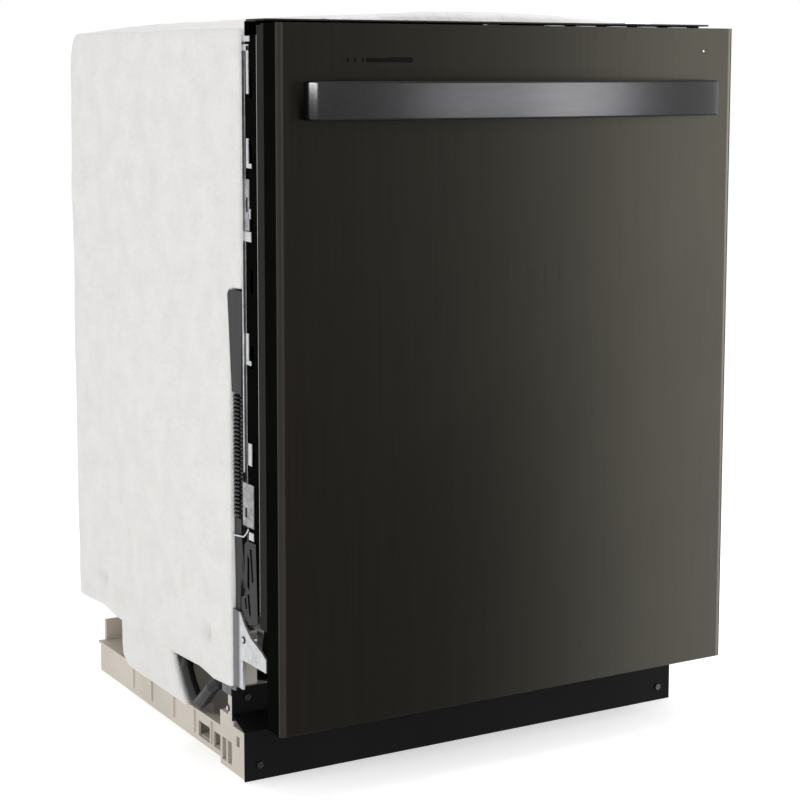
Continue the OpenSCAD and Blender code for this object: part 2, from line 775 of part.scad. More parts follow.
module heating_element() color("silver") {
    r = 4;
    z = tub_floor + 15;
    half = tub_in - 92;
    front = tub_front + 91.5;
    back = tub_back - 68;
    bend = 30;
    for (x = [-half, half]) backwards(x, front + bend, z, back - front - 2 * bend, r);
    for (d = [front, back]) crossways(-half + bend, d, z, 2 * (half - bend), r);
    for (c = [[half - bend, back - bend, 0], [-half + bend, back - bend, 90],
              [-half + bend, front + bend, 180], [half - bend, front + bend, 270]])
        translate([c[0], door_y + c[1], z]) rotate([0, 0, c[2]])
            rotate_extrude(angle = 90) translate([bend, 0]) circle(r);
    for (p = [[-30, front], [30, front], [-half, arm_centre], [half, arm_centre]])
        upright(p[0], p[1], tub_floor, z - tub_floor, 3);
}

module feed_tube() color("gray") {
    slab([-18, 18], [feed_front, feed_back], [tub_floor, pipe_z + 14]);
    slab([-12, 12], [sump_centre + sump_r + 2, feed_front], [tub_floor, tub_floor + 7]);
    backwards(0, rack_back + wire, pipe_z, feed_front - rack_back - wire, pipe_r + 1);
}

// A rail channel held off the tub's side wall by three spacers, open towards the rack
module rail(z) {
    t = 2;
    lip = 6;
    d = [rack_front - 12, rack_back + 20];
    slab([rail_back - t, rail_back], d, [z, z + rail_h]);
    for (s = [z, z + rail_h - t]) slab([rail_front, rail_back], d, [s, s + t]);
    for (s = [z + t, z + rail_h - t - lip]) slab([rail_front, rail_front + t], d, [s, s + lip]);
    for (c = [d[0] + 30, (d[0] + d[1]) / 2, d[1] - 30])
        slab([rail_back, tub_in], [c - 10, c + 10], [z + 8, z + rail_h - 8]);
}

// A hollow runner on the rack's side, carried in the rail
module runner(z, inner, front, back) {
    gap = run_gap;
    mid = z + rail_h / 2;
    t = 1.5;
    x = [rail_front + 2 + gap, rail_back - 2 - gap];
    difference() {
        slab(x, [front, back], [z + 2 + gap, z + rail_h - 2 - gap]);
        slab([x[0] + t, x[1] - t], [front - 1, back + 1], [z + 2 + gap + t, z + rail_h - 2 - gap - t]);
    }
    slab([inner, rail_front + 3], [front + 20, back - 20], [mid - 6, mid - 3]);
    slab([inner, rail_front + 3], [front + 20, back - 20], [mid + 3, mid + 6]);
}

module rack_rails() color("silver") both_sides() for (z = [upper_rail_z, third_rail_z]) rail(z);

module float_switch() color("white") {
    x = -(tub_in - float_inset);
    depth = tub_front + 53.5;
    upright(x, depth, tub_floor + 0.3, 18, 17);
    upright(x, depth, tub_floor + 18, 6, 12);
}

// A two-bladed spray arm turning on the height axis
module spray_arm(z, reach, blade_w, blade_h, hub_r, hub_h, bore_r, bore_h) {
    translate([0, door_y + arm_centre, z]) difference() {
        union() {
            cylinder(r = hub_r, h = hub_h);
            for (a = [0, 180]) rotate([0, 0, a]) {
                translate([0, -blade_w / 2, 1]) cube([reach - blade_w / 2, blade_w, blade_h]);
                translate([reach - blade_w / 2, 0, 1]) cylinder(r = blade_w / 2, h = blade_h);
            }
        }
        translate([0, 0, -1]) cylinder(r = bore_r, h = bore_h + 1);
        for (a = [0, 180], i = [1 : 4]) rotate([0, 0, a])
            translate([reach * i / 4.6, blade_w / 5, blade_h - 2]) cylinder(r = 2, h = 6);
    }
}

module lower_spray_arm() color("gray")
    spray_arm(arm_z, lower_arm_r, 40, 12, 22, 18, post_r + bore_gap, 12.3);

module upper_spray_arm() color("gray")
    spray_arm(pipe_z - pipe_r - 22, upper_arm_r, 34, 10, 18, 14, 8 + bore_gap, 14);

module foot(x, d) {
    upright(x, d, 0, base_floor, foot_r);
    upright(x, d, base_floor, base_h - base_floor - 4, 5);
}
module front_foot_left() color("dimgray") foot(-foot_x, front_foot_depth);
module front_foot_right() color("dimgray") foot(foot_x, front_foot_depth);
module rear_feet() color("dimgray") both_sides() foot(foot_x, rear_foot_depth);

// Plan outline of the door sheet: a tray with rounded front corners
module panel_outline(half, front, back, r) {
    translate([-half, front + r]) square([2 * half, back - front - r]);
    translate([-half + r, front]) square([2 * (half - r), r]);
    for (x = [-half + r, half - r]) translate([x, front + r]) circle(r);
}

module door_panel() color([0.14, 0.14, 0.12]) difference() {
    union() {
        level_plate(door_bottom, door_top - door_bottom) difference() {
            panel_outline(door_half, 0, return_depth, panel_round);
            panel_outline(door_half - panel_t, panel_t, return_depth + 10, panel_round - panel_t / 2);
        }
        for (z = [door_bottom, door_top - panel_t])
            slab([-door_half + panel_round, door_half - panel_round], [panel_t / 2, console_front - joint_gap],
                 [z, z + panel_t]);
    }
    slab([-window_x - window_w / 2, -window_x + window_w / 2], [-1, panel_t + 1],
         [window_z - window_h / 2, window_z + window_h / 2]);
    backwards(light_x, -1, light_z, panel_t + 2, light_r);
}

module door_liner() color("gray") {
    t = 1;
    narrow = bulge_half + 4;
    top = door_top - 2;
    difference() {
        union() {
            slab([-edge_half, edge_half], [liner_back - t, liner_back], [edge_bottom, top]);
            slab([-narrow, narrow], [liner_back - t, liner_back], [hinge_height + 12, edge_bottom]);
            both_sides()
                slab([edge_half - t, edge_half], [liner_back - liner_edge, liner_back], [edge_bottom, top]);
            front_plate(liner_back - t, bulge_depth + t)
                translate([0, bulge_bottom]) centred_rect(2 * bulge_half, bulge_top - bulge_bottom, 14);
        }
        front_plate(liner_back - t - 1, bulge_depth + 1)
            translate([0, bulge_bottom + t])
                centred_rect(2 * (bulge_half - t), bulge_top - bulge_bottom - 2 * t, 13);
        slab([dispenser_x - dispenser_w / 2, dispenser_x + dispenser_w / 2], [liner_back, bulge_back + 1],
             [dispenser_z - dispenser_h / 2, dispenser_z + dispenser_h / 2]);
        backwards(vent_x, liner_back, vent_z, bulge_depth + 5, vent_r - 6);
        slab([-12, 12], [liner_back - t - 1, liner_back + 1], [latch_z - 8, top + 1]);
    }
}

module handle() color([0.3, 0.3, 0.3]) {
    half = handle_half;
    radius = (half * half + handle_bow * handle_bow) / (2 * handle_bow);
    centre = radius - handle_reach;
    intersection() {
        slab([-half, half], [-handle_reach - 1, -handle_end + handle_t], [handle_z, handle_z + handle_h]);
        translate([0, door_y + centre, handle_z]) difference() {
            cylinder(r = radius, h = handle_h, $fn = 360);
            translate([0, 0, -1]) cylinder(r = radius - handle_t, h = handle_h + 2, $fn = 360);
        }
    }
    both_sides()
        slab([half - handle_post, half], [-handle_end + 1, 0], [handle_z, handle_z + handle_h]);
}

module status_window() color("black")
    slab([-window_x - window_w / 2, -window_x + window_w / 2], [0.1, panel_t + 3],
         [window_z - window_h / 2, window_z + window_h / 2]);

module status_light() color("white") backwards(light_x, 0.1, light_z, panel_t + 3, light_r);

function button_x(i) = (i - 2) * button_pitch + 150;

module control_console() color([0.08, 0.08, 0.08]) {
    half = edge_half - 5;
    wall = 2;
    back = console_back;
    difference() {
        slab([-half, half], [console_front, back], [console_bottom, door_top]);
        slab([-half + wall, half - wall], [console_front + wall, back - wall],
             [console_bottom - 1, door_top - wall]);
        for (i = [0 : 4])
            slab([button_x(i) - button_w / 2 - 0.3, button_x(i) + button_w / 2 + 0.3],
                 [button_depth - 0.3, button_depth + button_d + 0.3], [door_top - wall - 1, door_top + 1]);
        slab([-14, 14], [claw_depth - 8, back + 1], [latch_z - 9, door_top + 1]);
    }
}

module control_board() color("darkgreen") {
    slab([20, edge_half - 8], [12, back_of_board()], [console_bottom + 14, console_bottom + 15.6]);
    both_sides() slab([60, 80], [console_front + 2, 16], [console_bottom + 6, console_bottom + 14]);
}
function back_of_board() = console_back - 2;

module button(i)
    slab([button_x(i) - button_w / 2, button_x(i) + button_w / 2],
         [button_depth, button_depth + button_d], [door_top - 6, door_top + 1.2]);

module start_button() color("gray") button(4);
module cycle_button() color("gray") button(0);
module options_button() color("gray") button(1);
module dry_button() color("gray") button(2);
module cancel_button() color("gray") button(3);

module dispenser_body() color("gray") {
    half = dispenser_w / 2 - joint_gap;
    half_h = dispenser_h / 2 - joint_gap;
    difference() {
        slab([dispenser_x - half, dispenser_x + half], [liner_back - 12, bulge_back + 1],
             [dispenser_z - half_h, dispenser_z + half_h]);
        slab([dispenser_x - 75, dispenser_x - 15], [liner_back - 8, bulge_back + 2],
             [dispenser_z - half_h + 9.8, dispenser_z + 10]);
        backwards(rinse_x, liner_back - 2, dispenser_z, bulge_depth + 5, rinse_r - 5);
    }
}

module dispenser_lid() color("darkgray") {
    front = bulge_back + 1 + run_gap;
    low = dispenser_z - dispenser_h / 2 + 4;
    slab([dispenser_x - 45 - lid_w / 2, dispenser_x - 45 + lid_w / 2], [front, front + lid_t],
         [low, low + lid_h]);
    slab([dispenser_x - 60, dispenser_x - 30], [front + lid_t, front + lid_t + 2],
         [dispenser_z + 10, dispenser_z + 18]);
}

module rinse_aid_cap() color("darkblue") {
    front = bulge_back + 1 + run_gap;
    backwards(rinse_x, front, dispenser_z, 3, rinse_r);
    slab([rinse_x - rinse_r + 3, rinse_x + rinse_r - 3], [front + 3, front + 6],
         [dispenser_z - 2.5, dispenser_z + 2.5]);
    backwards(rinse_x, front - 8, dispenser_z, 8, rinse_r - 6);
}

module vent_cover() color("gray") difference() {
    union() {
        backwards(vent_x, bulge_back, vent_z, 3, vent_r);
        backwards(vent_x, liner_back, vent_z, bulge_depth, vent_r - 6.2);
    }
    for (i = [-2 : 2])
        slab([vent_x - 22, vent_x + 22], [liner_back - 1, bulge_back + 4],
             [vent_z + i * 9 - 2, vent_z + i * 9 + 2]);
}

module hinge_arms() color("silver") both_sides()
    side_plate(arm_outer - arm_t, arm_t) difference() {
        union() {
            translate([hinge_depth, hinge_height]) circle(11);
            polygon([
                [hinge_depth - 11, hinge_height], [hinge_depth - 16, hinge_height + 30],
                [hinge_depth - 16, hinge_height + arm_h], [liner_back - 1.2, hinge_height + arm_h],
                [liner_back - 1.2, edge_bottom - 2], [hinge_depth + 4, hinge_height + 20],
                [hinge_depth + 10.9, hinge_height + 1]
            ]);
        }
        translate([hinge_depth, hinge_height]) circle(pin_r + bore_gap);
    }

module latch_claw() color("gainsboro") {
    under = latch_z + 2 + run_gap;
    tip = tub_front + 18;
    side_plate(-8, 16) polygon([
        [claw_depth - 3, latch_z - 1], [claw_depth + 5, latch_z - 1], [liner_back + 4, under + 0.6],
        [tip - 8, under], [tip, under], [tip, under + 2.5], [tip - 8, under + 4], [claw_depth - 3, under + 4]
    ]);
    crossways(-11, claw_depth, latch_z + 1, 22, 3);
}

module lower_rack() color("lightgray") {
    z = rack_floor;
    rack_basket(lower_rack_half, z, lower_rack_h, rack_front, rack_back);
    for (i = [1 : 3])
        front_plate(rack_front + 3 + i * comb_step, wire)
            translate([comb_left, z + wire + joint_gap]) tine_comb(comb_w, comb_h);
    both_sides() for (d = [rack_front + axle_inset, rack_back - axle_inset]) {
        side_plate(lower_rack_half - wire - 1, wire) translate([d - 12, wheel_z - 10])
            square([24, z - wheel_z + 10 - joint_gap]);
        crossways(lower_rack_half - wire - 1, d, wheel_z, wire + 9, 4);
    }
}

module wheel_pair(d) both_sides() difference() {
    crossways(lower_rack_half + 1, d, wheel_z, 10, wheel_r);
    crossways(lower_rack_half, d, wheel_z, 8.3, 4 + bore_gap);
}
module lower_wheels_front() color("gray") wheel_pair(rack_front + axle_inset);
module lower_wheels_rear() color("gray") wheel_pair(rack_back - axle_inset);

module fold_down_tines() color("lightgray") {
    crossways(comb_left, fold_depth, fold_z, comb_w, wire / 2);
    front_plate(fold_depth - wire / 2, wire)
        translate([comb_left, fold_z]) tine_comb(comb_w, comb_h - 2);
}

module silverware_basket() color("gray") {
    x0 = basket_left;
    x1 = basket_right;
    d0 = rack_front + 48;
    d1 = rack_back - 120;
    z0 = rack_floor + wire + joint_gap;
    h = lower_rack_h - 55;
    t = 2;
    grip = x0 + basket_w / 2;
    gap = (d1 - d0 - 18) / 8;
    cell = (d1 - d0 - t) / 3;
    difference() {
        slab([x0, x1], [d0, d1], [z0, z0 + h]);
        for (i = [0 : 2])
            slab([x0 + t, x1 - t], [d0 + t + i * cell, d0 + (i + 1) * cell], [z0 + t, z0 + h + 1]);
        for (i = [0 : 7], z = [z0 + 20 : 24 : z0 + 100])
            slab([x0 - 1, x1 + 1], [d0 + 16 + i * gap, d0 + 2 + (i + 1) * gap], [z, z + 12]);
    }
    for (d = [d0 + cell, d0 + 2 * cell - 4])
        slab([grip - 4, grip + 2], [d, d + 6], [z0 + h, z0 + h + 30]);
    slab([grip - 6, grip + 4], [d0 + cell - 4, d0 + 2 * cell + 6], [z0 + h + 30, z0 + h + 38]);
}

module upper_rack() color("lightgray") {
    z = upper_rack_z;
    rack_basket(upper_rack_half, z, upper_rack_h, rack_front, rack_back);
    for (x = [-upper_rack_half / 2 + 1.5, upper_rack_half / 4 - 0.75])
        side_plate(x, wire) translate([rack_front + 30, z + wire + joint_gap])
            tine_comb(rack_back - rack_front - 60, 60);
    both_sides() runner(upper_rail_z, upper_rack_half, rack_front + 8, rack_back - 10);
    pipe_start = arm_centre - 18;
    backwards(0, pipe_start, pipe_z, rack_back + wire - run_gap - pipe_start, pipe_r);
    upright(0, arm_centre, pipe_z - pipe_r - 22, 22.5, 8);
}

module cup_shelf() color("lightgray") {
    z = upper_rack_z + shelf_w;
    x = upper_rack_half - wire - 3 - run_gap;
    level_plate(z, 3) translate([-x, shelf_front]) square([shelf_w, shelf_len]);
    backwards(-x, shelf_front, z + 1.5, shelf_len, 3);
}

module third_rack() color("lightgray") {
    rack_basket(upper_rack_half, third_rack_z, third_rack_h, rack_front, rack_back - 30);
    both_sides() runner(third_rail_z, upper_rack_half, rack_front + 8, rack_back - 40);
}

tub();
front_frame();
tub_gasket();
base_pan();
insulation_blanket();
insulation_skirt();
toe_panel();
access_panel();
panel_screws();
hinge_brackets();
spring_straps();
balance_springs();
top_strip();
counter_brackets();
latch_strike();
sump();
wash_motor();
drain_pump();
inlet_valve();
fill_hose();
drain_line();
junction_box();
heating_element();
fine_filter();
feed_tube();
rack_rails();
spring_links();
float_switch();
filter_cup();
lower_spray_arm();
front_foot_left();
front_foot_right();
rear_feet();
door_panel();
door_liner();
handle();
control_console();
control_board();
status_window();
status_light();
dispenser_body();
vent_cover();
hinge_arms();
dispenser_lid();
rinse_aid_cap();
latch_claw();
start_button();
cycle_button();
options_button();
dry_button();
cancel_button();
lower_rack();
silverware_basket();
lower_wheels_front();
lower_wheels_rear();
fold_down_tines();
upper_rack();
cup_shelf();
upper_spray_arm();
third_rack();
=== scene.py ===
"""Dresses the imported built-in dishwasher and sets up a plain pale studio around it.

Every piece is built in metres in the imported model's own frame. Places are worked out from the
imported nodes' boxes, or given in millimetres as heights and as depths behind the door's front face.
The sizes that an assembly keeps are in millimetres, and those of finishes and the studio in metres.
"""

import json
import logging
import math
from dataclasses import dataclass
from enum import Enum
from typing import Iterable, Sequence

import bmesh
import bpy
import numpy as np
from mathutils import Matrix, Vector, noise


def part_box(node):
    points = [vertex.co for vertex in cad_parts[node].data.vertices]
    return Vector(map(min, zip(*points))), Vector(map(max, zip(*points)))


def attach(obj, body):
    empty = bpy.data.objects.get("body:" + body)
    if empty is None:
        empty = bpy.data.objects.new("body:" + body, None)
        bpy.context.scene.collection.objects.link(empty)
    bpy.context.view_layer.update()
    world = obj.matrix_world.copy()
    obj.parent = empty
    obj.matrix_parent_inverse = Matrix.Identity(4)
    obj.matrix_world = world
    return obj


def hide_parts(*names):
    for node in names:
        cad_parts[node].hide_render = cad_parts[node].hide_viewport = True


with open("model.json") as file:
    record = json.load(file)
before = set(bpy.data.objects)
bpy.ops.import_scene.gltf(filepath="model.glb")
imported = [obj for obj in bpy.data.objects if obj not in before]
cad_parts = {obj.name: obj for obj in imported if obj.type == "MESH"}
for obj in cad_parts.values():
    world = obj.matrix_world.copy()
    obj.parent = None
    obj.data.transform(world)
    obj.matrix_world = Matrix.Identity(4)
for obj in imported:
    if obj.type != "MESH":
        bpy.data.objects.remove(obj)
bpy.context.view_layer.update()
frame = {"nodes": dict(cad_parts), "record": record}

LOG = logging.getLogger("dishwasher")
MM = 0.001
WELD = 0.002 * MM
"""Distance within which two vertices count as one."""
LEVEL = math.radians(0.5)
"""Angle below which neighbouring faces count as one flat face."""
DOOR_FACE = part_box("door_panel")[0][1]
"""The Y of the door's front face, from which depths are measured."""

Point = tuple[float, float, float]
Colour = tuple[float, float, float]
Line = list[Point]
Outline = Sequence[tuple[float, float]]
"""Corners of a plate, each a depth and a height in millimetres."""
Rounded = Sequence[tuple[str, float, int]]
"""Nodes to round off, each with the width in millimetres and the faces of its rounded edges."""


# --------------------------------------------------------------------------------------------
# Small helpers
# --------------------------------------------------------------------------------------------


class Side(Enum):
    """The two mirrored sides of the machine, seen from the front."""

    LEFT = -1
    RIGHT = 1


class Axis(Enum):
    """The level direction that a ring's axis runs in."""

    ACROSS = 0
    BACKWARDS = 1


class Linked(Enum):
    """Whether a lamp leaves a piece out or lights that piece alone."""

    EXCLUDE = "EXCLUDE"
    INCLUDE = "INCLUDE"


class Grain(Enum):
    """The direction that brush lines, ribs or fibres run in."""

    UPRIGHT = (1.0, 1.0, 0.012)
    ACROSS = (0.012, 1.0, 1.0)
    NONE = (1.0, 1.0, 1.0)


class Slot(Enum):
    """The record's material slots that the scene's own pieces take their finish from."""

    TUB_STEEL = "tub_steel"
    GALVANISED = "galvanised"
    DARK_STEEL = "dark_steel"
    HANDLE_STEEL = "handle_steel"
    BLACK_SHEET = "black_sheet"
    GREY_STRAP = "grey_strap"
    SPRING_STEEL = "spring_steel"
    MOTOR_STEEL = "motor_steel"
    WIRE_COAT = "wire_coat"
    FELT = "felt"
    SEAL_RUBBER = "seal_rubber"
    HOSE_RUBBER = "hose_rubber"
    BASE_PLASTIC = "base_plastic"
    BLACK_PLASTIC = "black_plastic"
    GREY_PLASTIC = "grey_plastic"
    DARK_PLASTIC = "dark_plastic"
    WHITE_PLASTIC = "white_plastic"
    BLUE_PLASTIC = "blue_plastic"
    WINDOW_GLOSS = "window_gloss"
    LIGHT_GLOSS = "light_gloss"
    BOARD_GREEN = "board_green"
    SCREW_STEEL = "screw_steel"


SLOTS: dict[str, Slot] = {row["node"]: Slot(row["material_slot"]) for row in frame["record"]["subparts"]}
"""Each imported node's slot."""
BODIES: dict[str, str] = {node: body for body, nodes in frame["record"]["behaviour"]["bodies"].items()
                          for node in nodes}
"""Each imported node's body."""


def at(x: float, depth: float, height: float) -> Point:
    """Turns millimetres into a point of the model.

    Args:
        x: Place across the width, right positive.
        depth: Distance behind the door's front face.
        height: Height above the floor.

    Returns:
        The point in metres.
    """
    return (x * MM, DOOR_FACE + depth * MM, height * MM)


def tone(red: int, green: int, blue: int) -> Colour:
    """Turns an 8-bit display colour into the linear colour that a shader takes.

    Args:
        red: Red, 0 to 255.
        green: Green, 0 to 255.
        blue: Blue, 0 to 255.

    Returns:
        The linear colour.
    """

    def linear(value: int) -> float:
        """Undoes the display curve of one channel."""
        share = value / 255
        return share / 12.92 if share <= 0.04045 else ((share + 0.055) / 1.055) ** 2.4

    return (linear(red), linear(green), linear(blue))


def span(node: str) -> tuple[Point, Point]:
    """A node's box in the millimetres that at() takes.

    Args:
        node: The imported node's name.

    Returns:
        The lowest and highest x, depth and height.
    """

    def measured(place: Sequence[float]) -> Point:
        """Undoes at()."""
        return (place[0] / MM, (place[1] - DOOR_FACE) / MM, place[2] / MM)

    low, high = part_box(node)
    return measured(low), measured(high)


def centre(node: str) -> Point:
    """The middle of a node's box.

    Args:
        node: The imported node's name.

    Returns:
        Its x, depth and height in millimetres.
    """
    low, high = span(node)
    return tuple((a + b) / 2 for a, b in zip(low, high))


def ring(middle: Point, radius: float, sides: int, axis: Axis) -> Line:
    """The points of an upright ring.

    Args:
        middle: Its centre in millimetres, as x, depth and height.
        radius: Its radius in millimetres.
        sides: How many points it has.
        axis: The direction that its axis runs in.

    Returns:
        The points in metres.
    """
    line = []
    for k in range(sides):
        angle = math.tau * k / sides
        place = list(middle)
        place[1 - axis.value] += radius * math.cos(angle)
        place[2] += radius * math.sin(angle)
        line.append(at(*place))
    return line


def placed(name: str, mesh: bpy.types.Mesh) -> bpy.types.Object:
    """Puts a mesh in the scene as an object at the origin.

    Args:
        name: The object's name.
        mesh: The mesh.

    Returns:
        The new object.
    """
    obj = bpy.data.objects.new(name, mesh)
    bpy.context.scene.collection.objects.link(obj)
    return obj


def plain(obj: bpy.types.Object) -> bpy.types.Object:
    """Replaces an object's mesh with its evaluated one and drops its modifiers.

    Args:
        obj: The object.

    Returns:
        The same object.
    """
    bpy.context.view_layer.update()
    graph = bpy.context.evaluated_depsgraph_get()
    mesh = bpy.data.meshes.new_from_object(obj.evaluated_get(graph), depsgraph=graph)
    old = obj.data
    obj.modifiers.clear()
    obj.data = mesh
    bpy.data.meshes.remove(old)
    return obj


def smooth(mesh: bpy.types.Mesh, angle: float) -> None:
    """Shades a mesh smooth with its corners kept.

    Args:
        mesh: The mesh.
        angle: Least angle in degrees that stays sharp.
    """
    mesh.shade_smooth()
    mesh.set_sharp_from_angle(angle=math.radians(angle))


class Graph:
    """A tree of nodes: a material's, a world's or a modifier's."""

    def __init__(self, tree: bpy.types.NodeTree) -> None:
        """Keeps the tree.

        Args:
            tree: The tree to build in.
        """
        self.tree = tree

    def node(self, kind: str, inputs: dict[str | int, object] | None = None,
             **values: object) -> bpy.types.Node:
        """Adds a node, sets its properties, and sets or feeds its inputs.

        Args:
            kind: The node's type name.
            inputs: By the inputs' names, their values or the sockets that feed them.
            **values: Properties to set on the node.

        Returns:
            The new node.
        """
        made = self.tree.nodes.new(kind)
        for key, value in values.items():
            setattr(made, key, value)
        for key, value in (inputs or {}).items():
            if isinstance(value, bpy.types.NodeSocket):
                self.tree.links.new(value, made.inputs[key])
            else:
                made.inputs[key].default_value = value
        return made


# --------------------------------------------------------------------------------------------
# Finishes
# --------------------------------------------------------------------------------------------


class Shader(Graph):
    """Builds one node material around a Principled BSDF."""

    def __init__(self, name: str) -> None:
        """Starts an empty material.

        Args:
            name: The material's name.
        """
        self.material = bpy.data.materials.new(name)
        self.material.use_nodes = True
        super().__init__(self.material.node_tree)
        self.tree.nodes.clear()
        self.place = self.node("ShaderNodeTexCoord").outputs["Object"]

    def noise(self, scale: float, grain: Grain = Grain.NONE, detail: float = 3.0) -> bpy.types.NodeSocket:
        """Cloudy or stretched noise from 0 to 1.

        Args:
            scale: Repeats a metre.
            grain: The direction that the noise is drawn out in.
            detail: Octaves of finer noise.

        Returns:
            The noise's value socket.
        """
        mapping = self.node("ShaderNodeMapping", {"Vector": self.place, "Scale": grain.value})
        made = self.node("ShaderNodeTexNoise",
                         {"Vector": mapping.outputs["Vector"], "Scale": scale, "Detail": detail})
        return made.outputs["Fac"]

    def ramp(self, value: bpy.types.NodeSocket, low: Colour, high: Colour, start: float = 0.3,
             end: float = 0.7) -> bpy.types.NodeSocket:
        """Runs a value from one colour to another.

        Args:
            value: The value that drives the colour.
            low: The colour at the start.
            high: The colour at the end.
            start: Value at which the first colour ends.
            end: Value at which the second colour begins.

        Returns:
            The colour's socket.
        """
        made = self.node("ShaderNodeValToRGB", {"Fac": value})
        first, last = made.color_ramp.elements
        first.position, last.position = start, end
        first.color, last.color = (*low, 1.0), (*high, 1.0)
        return made.outputs["Color"]

    def between(self, value: bpy.types.NodeSocket, low: float, high: float) -> bpy.types.NodeSocket:
        """Maps 0..1 to a range.

        Args:
            value: The value to map.
            low: Result at 0.
            high: Result at 1.

        Returns:
            The mapped value's socket.
        """
        made = self.node("ShaderNodeMapRange", {"Value": value, "To Min": low, "To Max": high})
        return made.outputs["Result"]

    def bump(self, layers: Iterable[tuple[bpy.types.NodeSocket, float]]) -> bpy.types.NodeSocket:
        """Stacks bump layers.

        Args:
            layers: Height sockets, each with its distance in metres.

        Returns:
            The bent normal's socket.
        """
        below: dict[str, bpy.types.NodeSocket] = {}
        for value, distance in layers:
            made = self.node("ShaderNodeBump",
                             {"Height": value, "Distance": distance, "Strength": 1.0, **below})
            below = {"Normal": made.outputs["Normal"]}
        return below["Normal"]

    def surface(self, **inputs: object) -> bpy.types.NodeSocket:
        """Adds a Principled BSDF with its own sockets set or fed.

        Args:
            **inputs: Socket names, with spaces as underscores, and their values or feeding sockets.

        Returns:
            The BSDF's socket.
        """
        made = self.node("ShaderNodeBsdfPrincipled",
                         {key.replace("_", " "): value for key, value in inputs.items()})
        return made.outputs["BSDF"]

    def finish(self, surface: bpy.types.NodeSocket) -> bpy.types.Material:
        """Connects the surface and hands the material over.

        Args:
            surface: The shader socket to show.

        Returns:
            The finished material.
        """
        self.node("ShaderNodeOutputMaterial", {"Surface": surface})
        return self.material


@dataclass(frozen=True)
class Metal:
    """Brushed, rolled or spangled bare metal."""

    low: Colour
    high: Colour
    roughness: float = 0.3
    grain: Grain = Grain.UPRIGHT
    lines: float = 900.0
    spread: float = 0.06
    depth: float = 0.00002
    spangle: float = 0.0
    waviness: float = 0.0
    wave_scale: float = 5.0
    cloud_scale: float = 9.0

    def shade(self, shader: Shader) -> bpy.types.NodeSocket:
        """Builds the metal's shader.

        Args:
            shader: The material to build in.

        Returns:
            The BSDF's socket.
        """
        lines = shader.noise(self.lines, self.grain, 4.0)
        clouds = shader.noise(self.cloud_scale, detail=2.0)
        both = shader.node("ShaderNodeMath", {0: lines, 1: clouds}, operation="MULTIPLY").outputs["Value"]
        low, high = self.roughness - self.spread, self.roughness + self.spread
        layers = [(lines, self.depth)]
        if self.waviness:
            layers.append((shader.noise(self.wave_scale, detail=1.0), self.waviness))
        return shader.surface(
            Metallic=1.0, Roughness=shader.between(both, low, high), Normal=shader.bump(layers),
            Base_Color=self.crystals(shader) if self.spangle else shader.ramp(lines, self.low, self.high),
        )

    def crystals(self, shader: Shader) -> bpy.types.NodeSocket:
        """Colours the flat crystals of a zinc coat.

        Args:
            shader: The material to build in.

        Returns:
            The colour's socket.
        """
        cells = shader.node("ShaderNodeTexVoronoi", {"Vector": shader.place, "Scale": self.spangle},
                            feature="F1")
        grey = shader.node("ShaderNodeRGBToBW", {"Color": cells.outputs["Color"]})
        return shader.ramp(grey.outputs["Val"], self.low, self.high, 0.0, 1.0)


@dataclass(frozen=True)
class Moulding:
    """Moulded plastic, rubber or paint with a fine grain."""

    colour: Colour
    roughness: float = 0.5
    specular: float = 0.5
    mottle: float = 0.08
    grain_scale: float = 1400.0
    grain_depth: float = 0.00004
    flow: float = 14.0
    coat: float = 0.0
    glow_through: float = 0.0
    spread: float = 0.05

    def shade(self, shader: Shader) -> bpy.types.NodeSocket:
        """Builds the moulding's shader.

        Args:
            shader: The material to build in.

        Returns:
            The BSDF's socket.
        """
        clouds = shader.noise(self.flow, detail=4.0)
        grain = shader.noise(self.grain_scale, detail=2.0)
        shade = tuple(c * (1 - self.mottle) for c in self.colour)
        light = tuple(min(1.0, c * (1 + self.mottle)) for c in self.colour)
        low, high = self.roughness - self.spread, self.roughness + self.spread
        return shader.surface(
            Metallic=0.0, Specular_IOR_Level=self.specular, Coat_Weight=self.coat, Coat_Roughness=0.12,
            Subsurface_Weight=self.glow_through, Subsurface_Radius=(0.004, 0.003, 0.002),
            Base_Color=shader.ramp(clouds, shade, light), Roughness=shader.between(clouds, low, high),
            Normal=shader.bump([(grain, self.grain_depth)]),
        )


@dataclass(frozen=True)
class Felt:
    """White needled felt with matted fibres, tufts and soft lumps."""

    colour: Colour = tone(221, 220, 218)
    shade_colour: Colour = tone(215, 214, 212)
    fibres: float = 520.0
    tufts: float = 95.0
    lumps: float = 26.0
    fibre_depth: float = 0.0005
    tuft_depth: float = 0.0016
    lump_depth: float = 0.0044

    def shade(self, shader: Shader) -> bpy.types.NodeSocket:
        """Builds the felt's shader.

        Args:
            shader: The material to build in.

        Returns:
            The BSDF's socket.
        """
        matted = shader.noise(self.lumps, detail=6.0)
        layers = [(shader.noise(self.fibres, detail=5.0), self.fibre_depth),
                  (shader.noise(self.tufts, detail=3.0), self.tuft_depth), (matted, self.lump_depth)]
        return shader.surface(
            Metallic=0.0, Roughness=0.95, Specular_IOR_Level=0.15, Sheen_Weight=0.12, Sheen_Roughness=0.6,
            Base_Color=shader.ramp(matted, self.shade_colour, self.colour, 0.32, 0.62),
            Normal=shader.bump(layers),
        )


